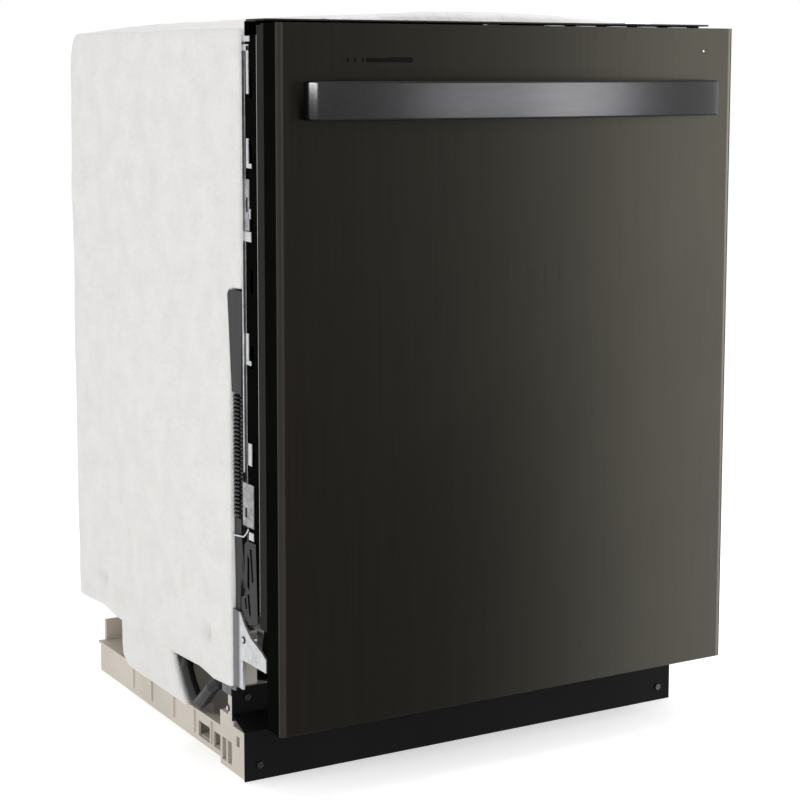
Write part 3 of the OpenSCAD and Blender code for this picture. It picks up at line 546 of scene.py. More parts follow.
@dataclass(frozen=True)
class Board:
    """A green circuit board with copper tracks under its lacquer."""

    colour: Colour = (0.02, 0.13, 0.05)
    track: Colour = (0.06, 0.26, 0.10)
    tracks: float = 160.0
    track_depth: float = 0.00005

    def shade(self, shader: Shader) -> bpy.types.NodeSocket:
        """Builds the board's shader.

        Args:
            shader: The material to build in.

        Returns:
            The BSDF's socket.
        """
        field, track = (*self.colour, 1.0), (*self.track, 1.0)
        cells = shader.node("ShaderNodeTexBrick", {
            "Vector": shader.place, "Scale": self.tracks, "Color1": field, "Color2": field, "Mortar": track,
        })
        return shader.surface(
            Metallic=0.0, Roughness=0.35, Coat_Weight=0.5, Base_Color=cells.outputs["Color"],
            Normal=shader.bump([(cells.outputs["Fac"], self.track_depth)]),
        )


@dataclass(frozen=True)
class Zoned:
    """Two finishes on one piece, parted where a coordinate passes a value."""

    inside: "Finish"
    beyond: "Finish"
    axis: int
    edge: float
    mirrored: bool = False
    soft: float = 0.0004

    def shade(self, shader: Shader) -> bpy.types.NodeSocket:
        """Builds both finishes and mixes them by place.

        Args:
            shader: The material to build in.

        Returns:
            The mixed shader's socket.
        """
        value = shader.node("ShaderNodeSeparateXYZ", {"Vector": shader.place}).outputs[self.axis]
        if self.mirrored:
            value = shader.node("ShaderNodeMath", {0: value}, operation="ABSOLUTE").outputs["Value"]
        step = shader.node("ShaderNodeMapRange", {
            "Value": value, "From Min": self.edge - self.soft, "From Max": self.edge + self.soft,
        })
        mix = shader.node("ShaderNodeMixShader", {
            "Fac": step.outputs["Result"], 1: self.inside.shade(shader), 2: self.beyond.shade(shader),
        })
        return mix.outputs["Shader"]


Finish = Metal | Moulding | Felt | Board | Zoned

STAINLESS = Metal((0.50, 0.50, 0.50), (0.64, 0.64, 0.63), 0.30, Grain.UPRIGHT, waviness=0.0004)
ZINC = Metal((0.50, 0.51, 0.53), (0.74, 0.75, 0.77), 0.38, Grain.NONE, 60.0, spangle=110.0, depth=0.00003)
BLACK_STEEL = Metal(tone(29, 28, 25), tone(32, 31, 27), 0.29, Grain.UPRIGHT, 700.0, 0.02, 0.000002)
# A lighter copy of the door's dark steel: painted highlight along the door's rounded front corners.
CORNER_HIGHLIGHT_STEEL = Metal(tone(50, 47, 44), tone(56, 53, 49), 0.30, Grain.UPRIGHT, 700.0, 0.02, 0.000002)
# Black finish: paint on the hinge arms, black on the door's sides, and painted shade in the post slots and
# the frame's channel recess.
BLACK_PAINT_AND_SHADE = Moulding(tone(11, 11, 9), 0.6, 0.0, 0.15, 900.0, 0.00003)
LINER_PAINT = Moulding(tone(34, 34, 32), 0.5, 0.02, 0.06, 900.0, 0.00003)
WHITE_STEEL = Metal((0.52, 0.53, 0.54), (0.70, 0.71, 0.72), 0.42, Grain.UPRIGHT, 60.0, spangle=150.0)
GREY_ZINC = Metal(tone(132, 132, 134), tone(182, 182, 184), 0.42, Grain.UPRIGHT, 60.0, spangle=180.0)
# A darker copy of the bracket zinc: painted shade.
ZINC_IN_PAINTED_SHADE = Metal(tone(96, 96, 98), tone(124, 124, 126), 0.45, Grain.UPRIGHT, 60.0)
DARK_PLATE = Metal(tone(36, 36, 36), tone(46, 46, 46), 0.42, Grain.UPRIGHT, 300.0)

FINISHES: dict[Slot, Finish] = {
    Slot.TUB_STEEL: STAINLESS,
    Slot.GALVANISED: ZINC,
    Slot.DARK_STEEL: BLACK_STEEL,
    Slot.HANDLE_STEEL: Metal(tone(40, 40, 41), tone(45, 45, 46), 0.27, Grain.ACROSS, 800.0, 0.02, 0.000003),
    Slot.BLACK_SHEET: Moulding(tone(18, 18, 18), 0.45, 0.04, 0.12, 700.0, 0.00003),
    Slot.GREY_STRAP: Metal(tone(42, 42, 43), tone(56, 56, 57), 0.42, Grain.UPRIGHT, 300.0),
    Slot.SPRING_STEEL: Metal(tone(64, 64, 65), tone(84, 84, 85), 0.34, Grain.NONE, 500.0),
    Slot.MOTOR_STEEL: Metal((0.28, 0.28, 0.29), (0.36, 0.36, 0.37), 0.45, Grain.ACROSS, 300.0),
    Slot.WIRE_COAT: Moulding((0.40, 0.41, 0.42), 0.42, 0.4, 0.05, 1800.0, 0.00002),
    Slot.FELT: Felt(),
    Slot.SEAL_RUBBER: Moulding(tone(22, 22, 23), 0.62, 0.2, 0.10, 900.0, 0.00005),
    Slot.HOSE_RUBBER: Moulding(tone(24, 24, 25), 0.36, 0.35, 0.10, 500.0, 0.00003),
    Slot.BASE_PLASTIC: Moulding(tone(196, 188, 177), 0.46, 0.35, 0.07, 700.0, 0.00005, 9.0, 0.0, 0.12),
    Slot.BLACK_PLASTIC: Moulding(tone(20, 20, 20), 0.5, 0.2, 0.12, 1600.0, 0.00005),
    Slot.GREY_PLASTIC: Moulding(tone(150, 152, 154), 0.44, 0.35, 0.05, 1500.0, 0.00004),
    Slot.DARK_PLASTIC: Moulding(tone(36, 36, 38), 0.48, 0.25, 0.10, 1500.0, 0.00005),
    Slot.WHITE_PLASTIC: Moulding(tone(228, 228, 224), 0.42, 0.4, 0.04, 1200.0, 0.00003),
    Slot.BLUE_PLASTIC: Moulding((0.02, 0.09, 0.32), 0.25, 0.5, 0.08, 900.0, 0.00001, 14.0, 0.6),
    Slot.WINDOW_GLOSS: Moulding((0.002, 0.002, 0.002), 0.3, 0.04, 0.30, 500.0, 0.000004, 30.0),
    Slot.LIGHT_GLOSS: Moulding((0.55, 0.58, 0.62), 0.15, 0.5, 0.10, 900.0, 0.000004, 30.0, 0.3),
    Slot.BOARD_GREEN: Board(),
    Slot.SCREW_STEEL: Metal(tone(36, 36, 36), tone(56, 56, 56), 0.4, Grain.NONE, 500.0),
}

NODE_FINISHES: dict[str, Finish] = {
    # Dark steel front, a lighter copy as painted highlight on the rounded front corners, and black on the
    # sides behind 4.5 mm.
    "door_panel": Zoned(Zoned(BLACK_STEEL, CORNER_HIGHLIGHT_STEEL, 0, 0.2965, True, 0.001), BLACK_PAINT_AND_SHADE, 1,
                        DOOR_FACE + 4.5 * MM, soft=0.001),
    "hinge_arms": BLACK_PAINT_AND_SHADE,
    "door_liner": Zoned(STAINLESS, LINER_PAINT, 0, 0.2965, mirrored=True),
    # Black in front of the bright rear lip: painted shade for the side channel's recess.
    "front_frame": Zoned(BLACK_PAINT_AND_SHADE, WHITE_STEEL, 1, DOOR_FACE + 88.4 * MM),
    # Darker behind 108 mm: painted shade on the brackets' rear flange beside the felt.
    "hinge_brackets": Zoned(WHITE_STEEL, ZINC_IN_PAINTED_SHADE, 1, DOOR_FACE + 108 * MM, soft=0.003),
}
# Nodes whose finish differs from their slot's, or that carry two finishes; some second finishes are painted
# highlight or painted shade.
"""Nodes whose finish differs from their slot's, or that carry two finishes."""


class Palette:
    """Makes each material once and hands it out by slot or finish."""

    def __init__(self) -> None:
        """Starts with no material made."""
        self.made: dict[str, bpy.types.Material] = {}

    def material(self, name: str, finish: Finish) -> bpy.types.Material:
        """The material of a finish.

        Args:
            name: The material's name.
            finish: The finish that it shows.

        Returns:
            The material, made at the first call.
        """
        if name not in self.made:
            shader = Shader(name)
            self.made[name] = shader.finish(finish.shade(shader))
        return self.made[name]

    def slot(self, slot: Slot) -> bpy.types.Material:
        """The material of a record slot.

        Args:
            slot: The slot.

        Returns:
            The slot's material.
        """
        return self.material(slot.value, FINISHES[slot])

    def dress_nodes(self) -> None:
        """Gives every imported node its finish."""
        for name, slot in SLOTS.items():
            own = NODE_FINISHES.get(name)
            material = self.material(name, own) if own else self.slot(slot)
            node = frame["nodes"][name]
            if not node.material_slots:
                node.data.materials.append(material)
            for entry in node.material_slots:
                entry.material = material


# --------------------------------------------------------------------------------------------
# Geometry Nodes trees
# --------------------------------------------------------------------------------------------


class NodeTree(Graph):
    """A Geometry Nodes tree with named inputs, run once on an object and baked."""

    def __init__(self, name: str, **sizes: str) -> None:
        """Starts the tree with its geometry, its material and its named inputs.

        Args:
            name: The tree's name.
            **sizes: Names of its other inputs, with spaces as underscores, and the kind of each.
        """
        super().__init__(bpy.data.node_groups.new(name, "GeometryNodeTree"))
        sockets = self.tree.interface
        sockets.new_socket("Geometry", in_out="INPUT", socket_type="NodeSocketGeometry")
        sockets.new_socket("Geometry", in_out="OUTPUT", socket_type="NodeSocketGeometry")
        self.inputs: dict[str, str] = {}
        for key, kind in {"Material": "Material", **sizes}.items():
            made = sockets.new_socket(key.replace("_", " "), in_out="INPUT", socket_type=f"NodeSocket{kind}")
            self.inputs[key] = made.identifier
        self.given = self.node("NodeGroupInput").outputs

    def tube(self, curve: bpy.types.NodeSocket, profile: bpy.types.NodeSocket) -> bpy.types.NodeSocket:
        """Runs a profile along a curve, closed at its ends.

        Args:
            curve: The curve.
            profile: The profile.

        Returns:
            The tube's mesh.
        """
        made = self.node("GeometryNodeCurveToMesh",
                         {"Curve": curve, "Profile Curve": profile, "Fill Caps": True})
        return made.outputs["Mesh"]

    def close(self, geometry: bpy.types.NodeSocket, rounded: bool = True) -> None:
        """Ends the tree: shading, real instances and the material.

        Args:
            geometry: The geometry to finish.
            rounded: Whether its faces are shaded smooth.
        """
        shade = self.node("GeometryNodeSetShadeSmooth", {"Geometry": geometry, "Shade Smooth": rounded})
        real = self.node("GeometryNodeRealizeInstances", {"Geometry": shade.outputs["Geometry"]})
        paint = self.node("GeometryNodeSetMaterial",
                          {"Geometry": real.outputs["Geometry"], "Material": self.given["Material"]})
        self.node("NodeGroupOutput", {"Geometry": paint.outputs["Geometry"]})

    def bake(self, obj: bpy.types.Object, **values: object) -> bpy.types.Object:
        """Runs the tree on an object and leaves a plain mesh.

        Args:
            obj: The object that carries the tree's source geometry.
            **values: The named inputs, with spaces as underscores.

        Returns:
            The same object with its mesh made real.
        """
        modifier = obj.modifiers.new(self.tree.name, "NODES")
        modifier.node_group = self.tree
        for key, value in values.items():
            modifier[self.inputs[key]] = value
        return plain(obj)


class SweepTree(NodeTree):
    """Runs a round wire along edges, with its corners bent to a radius."""

    def __init__(self, steps: int = 5) -> None:
        """Builds the tree.

        Args:
            steps: Points in each bend.
        """
        super().__init__("wire_sweep", Radius="Float", Bend="Float", Sides="Int")
        curve = self.node("GeometryNodeMeshToCurve", {"Mesh": self.given["Geometry"]})
        fillet = self.node("GeometryNodeFilletCurve", {
            "Curve": curve.outputs["Curve"], "Radius": self.given["Bend"], "Limit Radius": True,
        })
        self.set_mode(fillet, "POLY")
        fillet.inputs["Count"].default_value = steps
        wire = self.node("GeometryNodeCurvePrimitiveCircle",
                         {"Radius": self.given["Radius"], "Resolution": self.given["Sides"]})
        self.close(self.tube(fillet.outputs["Curve"], wire.outputs["Curve"]))

    def set_mode(self, node: bpy.types.Node, mode: str) -> None:
        """Sets a node's mode, whether it is a property or a menu socket.

        Args:
            node: The node.
            mode: The mode's name.
        """
        if hasattr(node, "mode"):
            node.mode = mode
        else:
            node.inputs["Mode"].default_value = mode


class CoilTree(NodeTree):
    """Winds a close coil of wire upwards from the origin."""

    def __init__(self, steps: int = 20, sides: int = 10) -> None:
        """Builds the tree.

        Args:
            steps: Points in each turn.
            sides: Faces around the wire.
        """
        super().__init__("coil_winding", Turns="Float", Coil_Radius="Float", Height="Float",
                         Wire_Radius="Float")
        spiral = self.node("GeometryNodeCurveSpiral", {
            "Resolution": steps, "Rotations": self.given["Turns"], "Height": self.given["Height"],
            "Start Radius": self.given["Coil Radius"], "End Radius": self.given["Coil Radius"],
        })
        wire = self.node("GeometryNodeCurvePrimitiveCircle",
                         {"Resolution": sides, "Radius": self.given["Wire Radius"]})
        self.close(self.tube(spiral.outputs["Curve"], wire.outputs["Curve"]))


class StudTree(NodeTree):
    """Stands a small disc or stud on every point of a mesh."""

    def __init__(self) -> None:
        """Builds the tree."""
        super().__init__("studs", Radius="Float", Depth="Float", Sides="Int", Turn="Vector")
        stud = self.node("GeometryNodeMeshCylinder", {
            "Vertices": self.given["Sides"], "Radius": self.given["Radius"], "Depth": self.given["Depth"],
        })
        points = self.node("GeometryNodeInstanceOnPoints", {
            "Points": self.given["Geometry"], "Rotation": self.given["Turn"],
            "Instance": stud.outputs["Mesh"],
        })
        self.close(points.outputs["Instances"], False)


# --------------------------------------------------------------------------------------------
# Mesh building
# --------------------------------------------------------------------------------------------


class Workshop:
    """Makes mesh pieces from outlines, boxes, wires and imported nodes, and keeps a list of them."""

    def __init__(self, palette: Palette) -> None:
        """Keeps the palette and the node trees.

        Args:
            palette: Where the materials come from.
        """
        self.palette = palette
        self.sweep, self.coil, self.studs = SweepTree(), CoilTree(), StudTree()
        self.made: list[bpy.types.Object] = []

    def claimed(self, obj: bpy.types.Object, body: str, slot: Slot) -> bpy.types.Object:
        """Lets a finished piece ride on its body, and lists it.

        Args:
            obj: The piece.
            body: The body that it rides on.
            slot: The record's slot; not used.

        Returns:
            The same object.
        """
        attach(obj, body)
        self.made.append(obj)
        return obj

    def piece(self, name: str, mesh: bpy.types.Mesh, body: str, slot: Slot, finish: Finish | None = None,
              flat: bool = False) -> bpy.types.Object:
        """Puts a mesh in the scene as a piece that rides on a body.

        Args:
            name: The piece's name.
            mesh: Its mesh.
            body: The body that it rides on.
            slot: The record's slot.
            finish: A finish of its own, or None for the slot's.
            flat: Whether its flat faces are kept flat beside their rounded edges.

        Returns:
            The new object.
        """
        obj = placed(name, mesh)
        mesh.materials.clear()
        own = self.palette.material(f"{name}_finish", finish) if finish else self.palette.slot(slot)
        mesh.materials.append(own)
        if flat:
            weights = obj.modifiers.new("weights", "WEIGHTED_NORMAL")
            weights.mode = "FACE_AREA"
            weights.weight = 90
            weights.keep_sharp = True
            plain(obj)
        return self.claimed(obj, body, slot)

    def from_bmesh(self, bm: bmesh.types.BMesh, name: str) -> bpy.types.Mesh:
        """Closes a bmesh into a mesh with outward normals.

        Args:
            bm: The bmesh, which is freed.
            name: The mesh's name.

        Returns:
            The mesh.
        """
        bmesh.ops.recalc_face_normals(bm, faces=bm.faces)
        mesh = bpy.data.meshes.new(name)
        bm.to_mesh(mesh)
        bm.free()
        return mesh

    def soften(self, nodes: Rounded, least_angle: float = 32.0) -> None:
        """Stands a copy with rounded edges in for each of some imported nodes.

        Args:
            nodes: The nodes, each with the width and the faces of its rounded edges.
            least_angle: Least angle in degrees of an edge that is rounded.
        """
        for node, width, segments in nodes:
            bm = bmesh.new()
            bm.from_mesh(frame["nodes"][node].data)
            bmesh.ops.remove_doubles(bm, verts=bm.verts, dist=WELD)
            bmesh.ops.dissolve_limit(bm, angle_limit=LEVEL, verts=bm.verts, edges=bm.edges)
            sharp = [e for e in bm.edges
                     if len(e.link_faces) == 2 and e.calc_face_angle(0) > math.radians(least_angle)]
            bmesh.ops.bevel(bm, geom=sharp, offset=width * MM, offset_type="WIDTH", segments=segments,
                            profile=0.6, affect="EDGES", clamp_overlap=True)
            mesh = self.from_bmesh(bm, f"{node}_soft")
            smooth(mesh, 40)
            obj = self.piece(f"{node}_formed", mesh, BODIES[node], SLOTS[node], NODE_FINISHES.get(node), True)
            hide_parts(node)

    def wires(self, name: str, lines: Sequence[Line], body: str, slot: Slot, radius: float,
              bend: float = 8.0, sides: int = 8, closed: bool = False) -> bpy.types.Object:
        """Bends round wires along lines.

        Args:
            name: The piece's name.
            lines: Each wire's points, in metres.
            body: The body that it rides on.
            slot: The record's slot.
            radius: The wire's radius in millimetres.
            bend: Radius of its bends in millimetres.
            sides: Faces around the wire.
            closed: Whether the lines close on themselves.

        Returns:
            The new piece.
        """
        points: list[Point] = []
        edges: list[tuple[int, int]] = []
        for line in lines:
            start = len(points)
            points.extend(line)
            edges.extend((start + k, start + k + 1) for k in range(len(line) - 1))
            if closed:
                edges.append((start + len(line) - 1, start))
        mesh = bpy.data.meshes.new(name)
        mesh.from_pydata(points, edges, [])
        obj = self.sweep.bake(placed(name, mesh), Radius=radius * MM, Bend=bend * MM, Sides=sides,
                              Material=self.palette.slot(slot))
        return self.claimed(obj, body, slot)

    def wound(self, name: str, foot: Point, body: str, slot: Slot, radius: float, wire: float, pitch: float,
              length: float) -> bpy.types.Object:
        """Winds an upright coil spring.

        Args:
            name: The piece's name.
            foot: The middle of its foot in metres.
            body: The body that it rides on.
            slot: The record's slot.
            radius: The coil's outer radius in millimetres.
            wire: The wire's radius in millimetres.
            pitch: Height of each turn in millimetres.
            length: The coil's height in millimetres.

        Returns:
            The new piece.
        """
        obj = self.coil.bake(placed(name, bpy.data.meshes.new("coil")), Turns=length / pitch,
                             Coil_Radius=(radius - wire) * MM, Height=length * MM, Wire_Radius=wire * MM,
                             Material=self.palette.slot(slot))
        obj.data.transform(Matrix.Translation(foot))
        return self.claimed(obj, body, slot)

    def studded(self, name: str, points: Sequence[Point], body: str, slot: Slot, radius: float, depth: float,
                sides: int = 12, turn: Point = (0.0, 0.0, 0.0)) -> bpy.types.Object:
        """Stands small studs on points.

        Args:
            name: The piece's name.
            points: Where they stand, in metres.
            body: The body that it rides on.
            slot: The record's slot.
            radius: Their radius in millimetres.
            depth: Their height in millimetres.
            sides: Faces around each.
            turn: Their turn, as an Euler angle in radians.

        Returns:
            The new piece.
        """
        mesh = bpy.data.meshes.new(name)
        mesh.from_pydata(list(points), [], [])
        obj = self.studs.bake(placed(name, mesh), Radius=radius * MM, Depth=depth * MM, Sides=sides,
                              Turn=turn, Material=self.palette.slot(slot))
        return self.claimed(obj, body, slot)

    def edged(self, bm: bmesh.types.BMesh, edges: Iterable[bmesh.types.BMEdge], width: float) -> None:
        """Rounds some edges.

        Args:
            bm: The bmesh.
            edges: The edges.
            width: Width of the rounded edges in millimetres.
        """
        bmesh.ops.bevel(bm, geom=list(edges), offset=width * MM, segments=2, affect="EDGES",
                        clamp_overlap=True)

    def plate(self, bm: bmesh.types.BMesh, outline: Outline, x: float, thickness: float, edge: float) -> None:
        """Adds an upright plate along the side, cut to an outline.

        Args:
            bm: The bmesh to add to.
            outline: The plate's corners.
            x: Where its nearer face to the middle lies, in millimetres.
            thickness: Its thickness, growing away from the middle.
            edge: Width of its rounded edges.
        """
        outward = math.copysign(thickness, x)
        near = [bm.verts.new(at(x, d, z)) for d, z in outline]
        far = [bm.verts.new(at(x + outward, d, z)) for d, z in outline]
        count = len(outline)
        bm.faces.new(near)
        bm.faces.new(list(reversed(far)))
        for k in range(count):
            bm.faces.new((near[k], far[k], far[(k + 1) % count], near[(k + 1) % count]))
        self.edged(bm, [e for e in bm.edges
                        if all(v in near for v in e.verts) or all(v in far for v in e.verts)], edge)

    def block(self, bm: bmesh.types.BMesh, low: Point, high: Point, edge: float) -> None:
        """Adds a box with rounded edges, its corners given in millimetres as x, depth and height.

        Args:
            bm: The bmesh to add to.
            low: The lowest corner.
            high: The highest corner.
            edge: Width of its rounded edges.
        """
        made = bmesh.ops.create_cube(bm, size=1.0)
        a, b = Vector(at(*low)), Vector(at(*high))
        matrix = Matrix.Translation((a + b) / 2) @ Matrix.Diagonal((*(b - a), 1.0))
        bmesh.ops.transform(bm, matrix=matrix, verts=made["verts"])
        self.edged(bm, {e for v in made["verts"] for e in v.link_edges}, edge)


@dataclass
class Assembly:
    """A part of the machine, built in the workshop."""

    shop: Workshop

    def build(self) -> None:
        """Builds the part's own pieces."""
        raise NotImplementedError


# --------------------------------------------------------------------------------------------
# The door
# --------------------------------------------------------------------------------------------


@dataclass
class Door(Assembly):
    """The tray-shaped steel door with its bowed bar handle, console, liner and small parts."""

    body: str = "door"
    handle_edge: float = 2.2
    handle_thickness: float = 8.0
    end_proud: float = 17.0
    end_bend: float = 11.0
    end_gap: float = 0.2
    bow_rows: int = 64
    bend_rows: int = 14
    corner_rows: int = 6
    display: float = 57.0
    display_proud: float = 0.3
    display_gap: float = 0.03
    display_foot: float = 2.0
    display_head: float = 0.6
    display_edge: float = 0.05
    slot_inset: float = 0.2
    slot_edge: float = 0.12
    indicators: int = 3
    indicator: float = 2.6
    indicator_foot: float = 1.6
    indicator_head: float = 1.0
    indicator_gap: float = 3.0
    indicator_pitch: float = 9.0
    board_parts: int = 26
    board_seed: int = 7
    part_ends: tuple[float, float] = (30, 12)
    part_depths: tuple[float, float] = (14, 40)
    part_wide: tuple[float, float] = (3, 9)
    part_deep: tuple[float, float] = (2.5, 6.0)
    part_tall: tuple[float, float] = (1.5, 6.0)
    sheet: Rounded = (("door_panel", 0.5, 3), ("hinge_arms", 0.4, 2))
    console: Rounded = (
        ("control_console", 0.5, 2), ("start_button", 0.8, 3), ("cycle_button", 0.8, 3),
        ("options_button", 0.8, 3), ("dry_button", 0.8, 3), ("cancel_button", 0.8, 3),
    )
    inner_face: Rounded = (
        ("door_liner", 0.7, 2), ("dispenser_body", 0.9, 2), ("dispenser_lid", 1.0, 3),
        ("rinse_aid_cap", 0.7, 3), ("vent_cover", 0.8, 2), ("latch_claw", 0.3, 2),
    )

    def build(self) -> None:
        """Builds the door's own pieces."""
        self.shop.soften(self.sheet)
        self.build_handle()
        self.shop.soften(self.console)
        self.build_display()
        self.build_board()
        self.shop.soften(self.inner_face)

    def handle_section(self, height: float) -> list[tuple[float, float]]:
        """The bar's rounded cross-section.

        Args:
            height: The bar's height in millimetres.

        Returns:
            Points as depth behind the bar's front and height from its middle.
        """
        corner = self.handle_edge
        back, top = self.handle_thickness - corner, height / 2 - corner
        points: list[tuple[float, float]] = []
        for d, z, start in ((corner, top, 180), (back, top, 90), (back, -top, 360), (corner, -top, 270)):
            for k in range(self.corner_rows + 1):
                angle = math.radians(start - 90 * k / self.corner_rows)
                points.append((d + corner * math.cos(angle), z + corner * math.sin(angle)))
        return points

    def handle_path(self, half: float, front: float) -> list[Point]:
        """The bar's front seen from above: a bow whose ends bend back to the door.

        Args:
            half: Half the bar's length in millimetres.
            front: Depth of the bow's middle, less than zero.

        Returns:
            Points from one end to the other as x, depth and the way that the front faces, in
            radians from straight ahead.
        """
        sag = -front - self.end_proud
        radius = (half * half + sag * sag) / (2 * sag)
        last = math.asin((half - self.end_bend) / radius)
        turns = [last * (2 * k / self.bow_rows - 1) for k in range(self.bow_rows + 1)]
        bow = [(radius * math.sin(a), front + radius * (1 - math.cos(a)), a) for a in turns]
        x, depth, turn = bow[-1]
        middle = (x - self.end_bend * math.sin(turn), depth + self.end_bend * math.cos(turn))
        quarter = math.pi / 2
        turns = [turn + (quarter - turn) * k / self.bend_rows for k in range(1, self.bend_rows + 1)]
        right = [(middle[0] + self.end_bend * math.sin(a), middle[1] - self.end_bend * math.cos(a), a)
                 for a in turns]
        right.append((right[-1][0], self.end_gap, quarter))
        left = [(-x, d, -a) for x, d, a in reversed(right)]
        return left + bow + right

    def build_handle(self) -> None:
        """Sweeps the bar along its bow and its bent ends."""
        low, high = span("handle")
        middle = centre("handle")[2]
        section = self.handle_section(high[2] - low[2])
        bm = bmesh.new()
        rows = [[bm.verts.new(at(x - d * math.sin(turn), depth + d * math.cos(turn), middle + z))
                 for d, z in section] for x, depth, turn in self.handle_path(high[0], low[1])]
        count = len(section)
        for a, b in zip(rows, rows[1:]):
            for k in range(count):
                bm.faces.new((a[k], a[(k + 1) % count], b[(k + 1) % count], b[k]))
        bm.faces.new(rows[0])
        bm.faces.new(list(reversed(rows[-1])))
        mesh = self.shop.from_bmesh(bm, "handle_bar")
        smooth(mesh, 35)
        obj = self.shop.piece("handle_bowed", mesh, self.body, Slot.HANDLE_STEEL)
        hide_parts("handle")

    def build_display(self) -> None:
        """Lays the long dark display lens and its indicators on the door's face."""
        (near, _, foot), (far, deep, head) = span("status_window")
        front, back, inset = -self.display_proud, -self.display_gap, self.slot_inset
        left = far - self.display
        bm = bmesh.new()
        self.shop.block(bm, (near + inset, back, foot + inset), (far - inset, deep, head - inset),
                        self.slot_edge)
        rows = [(left, far, self.display_foot, self.display_head)]
        for step in range(self.indicators):
            x = left - self.indicator_gap - self.indicator_pitch * step
            rows.append((x - self.indicator, x, self.indicator_foot, self.indicator_head))
        for start, end, below, under in rows:
            self.shop.block(bm, (start, front, foot - below), (end, back, head - under), self.display_edge)
        mesh = self.shop.from_bmesh(bm, "display")
        obj = self.shop.piece("display_slot", mesh, self.body, Slot.WINDOW_GLOSS)
        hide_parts("status_window")

    def build_board(self) -> None:
        """Sets small parts on the control board, behind the console."""
        high = span("control_board")[1]
        first, margin = self.part_ends
        rng = np.random.default_rng(self.board_seed)
        bm = bmesh.new()
        for _ in range(self.board_parts):
            x = rng.uniform(first, high[0] - margin)
            d, wide, deep, tall = (rng.uniform(*limits) for limits in (
                self.part_depths, self.part_wide, self.part_deep, self.part_tall))
            self.shop.block(bm, (x, d, high[2] - 0.1), (x + wide, d + deep, high[2] + tall), 0.3)
        mesh = self.shop.from_bmesh(bm, "board_parts")
        self.shop.piece("board_components", mesh, self.body, Slot.BLACK_PLASTIC)


# --------------------------------------------------------------------------------------------
# The felt
# --------------------------------------------------------------------------------------------


@dataclass
class FeltCover(Assembly):
    """A soft felt cover made from the plain solid that it stands for; only its heart is in metres."""

    node: str
    voxel: float
    swell: float
    reach: float
    pinches: Sequence[tuple[float, float]] = ()
    hem: Sequence[tuple[float, float]] = ()
    hem_reach: float = 70.0
    tuck: float = 0.0
    seed: int = 3
    lumps: float = 7.0
    lump_height: float = 0.9
    even_height: float = 0.25
    folds: float = 34.0
    fold_height: float = 0.5
    pin_depth: float = 9.0
    pin_radius: float = 7.5
    pull_depth: float = 1.5
    pull_radius: float = 26.0
    heart: Point = (0.0, DOOR_FACE + 0.35, 0.45)

    def build(self) -> None:
        """Builds the felt: a fine even mesh, puffed, pinched and hemmed."""
        mesh = frame["nodes"][self.node].data.copy()
        obj = placed(f"{self.node}_felt", mesh)
        bm = bmesh.new()
        bm.from_mesh(mesh)
        bmesh.ops.remove_doubles(bm, verts=bm.verts, dist=WELD)
        bm.to_mesh(mesh)
        bm.free()
        remesh = obj.modifiers.new("even", "REMESH")
        remesh.mode = "VOXEL"
        remesh.voxel_size = self.voxel * MM * 1.0
        plain(obj)
        self.relax(obj.data)
        obj.data.materials.clear()
        obj.data.materials.append(self.shop.palette.slot(Slot.FELT))
        self.shop.claimed(obj, "chassis", Slot.FELT)
        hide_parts(self.node)

    def relax(self, mesh: bpy.types.Mesh) -> None:
        """Puffs the outer faces, then presses the dimples and waves the hem.

        Args:
            mesh: The felt's mesh.
        """
        count = len(mesh.vertices)
        points = np.empty(count * 3, np.float32)
        normals = np.empty(count * 3, np.float32)
        mesh.vertices.foreach_get("co", points)
        mesh.vertex_normals.foreach_get("vector", normals)
        points, normals = points.reshape(-1, 3).astype(float), normals.reshape(-1, 3).astype(float)
        shift = np.array([self.puff(*pair) for pair in zip(points, normals)]) * MM
        moved = points + normals * np.clip(shift, -self.reach * MM, self.reach * MM)[:, None]
        self.pinch(moved, normals)
        self.wave(moved)
        mesh.vertices.foreach_set("co", moved.astype(np.float32).ravel())
        mesh.update()
        smooth(mesh, 180)

    def puff(self, point: np.ndarray, normal: np.ndarray) -> float:
        """How far a point is pushed out: soft lumps with small folds, away from the tub.

        Args:
            point: The point in metres.
            normal: Its normal.

        Returns:
            The push in millimetres, none against the tub.
        """
        if float(np.dot(normal, point - np.array(self.heart))) <= 0.02:
            return 0.0
        lump = noise.fractal(Vector(point) * self.lumps + Vector((self.seed, 0, 0)), 1.0, 2.0, 3)
        fold = noise.noise(Vector(point) * self.folds)
        return self.swell * (self.even_height + self.lump_height * lump) + self.fold_height * fold

    def wave(self, points: np.ndarray) -> None:
        """Waves the lower edge, and lifts the upper edge where it is tucked in.

        Args:
            points: The points in metres, which are moved.
        """
        low, high = span(self.node)
        heights = points[:, 2] / MM
        if self.hem:
            depths, lifts = zip(*self.hem)
            lift = np.interp((points[:, 1] - DOOR_FACE) / MM, depths, lifts)
            points[:, 2] += lift * np.clip(1 - (heights - low[2]) / self.hem_reach, 0, 1) ** 1.5 * MM
        points[:, 2] += self.tuck * np.clip((heights - low[2]) / (high[2] - low[2]), 0, 1) ** 3 * MM

    def pinch(self, points: np.ndarray, normals: np.ndarray) -> None:
        """Presses a round dimple wherever a pin holds the felt to the tub.

        Args:
            points: The points in metres, which are moved.
            normals: Their normals.
        """
        start = points.copy()
        outer = (np.abs(normals[:, 0]) > 0.5) & (start[:, 0] * normals[:, 0] > 0)
        for depth, height in self.pinches:
            away = np.hypot(start[:, 1] - DOOR_FACE - depth * MM, start[:, 2] - height * MM) / MM
            pull = self.pin_depth * np.exp(-(away / self.pin_radius) ** 2)
            pull = pull + self.pull_depth * np.exp(-(away / self.pull_radius) ** 2)
            points[outer, 0] -= (np.sign(start[:, 0]) * pull * MM)[outer]


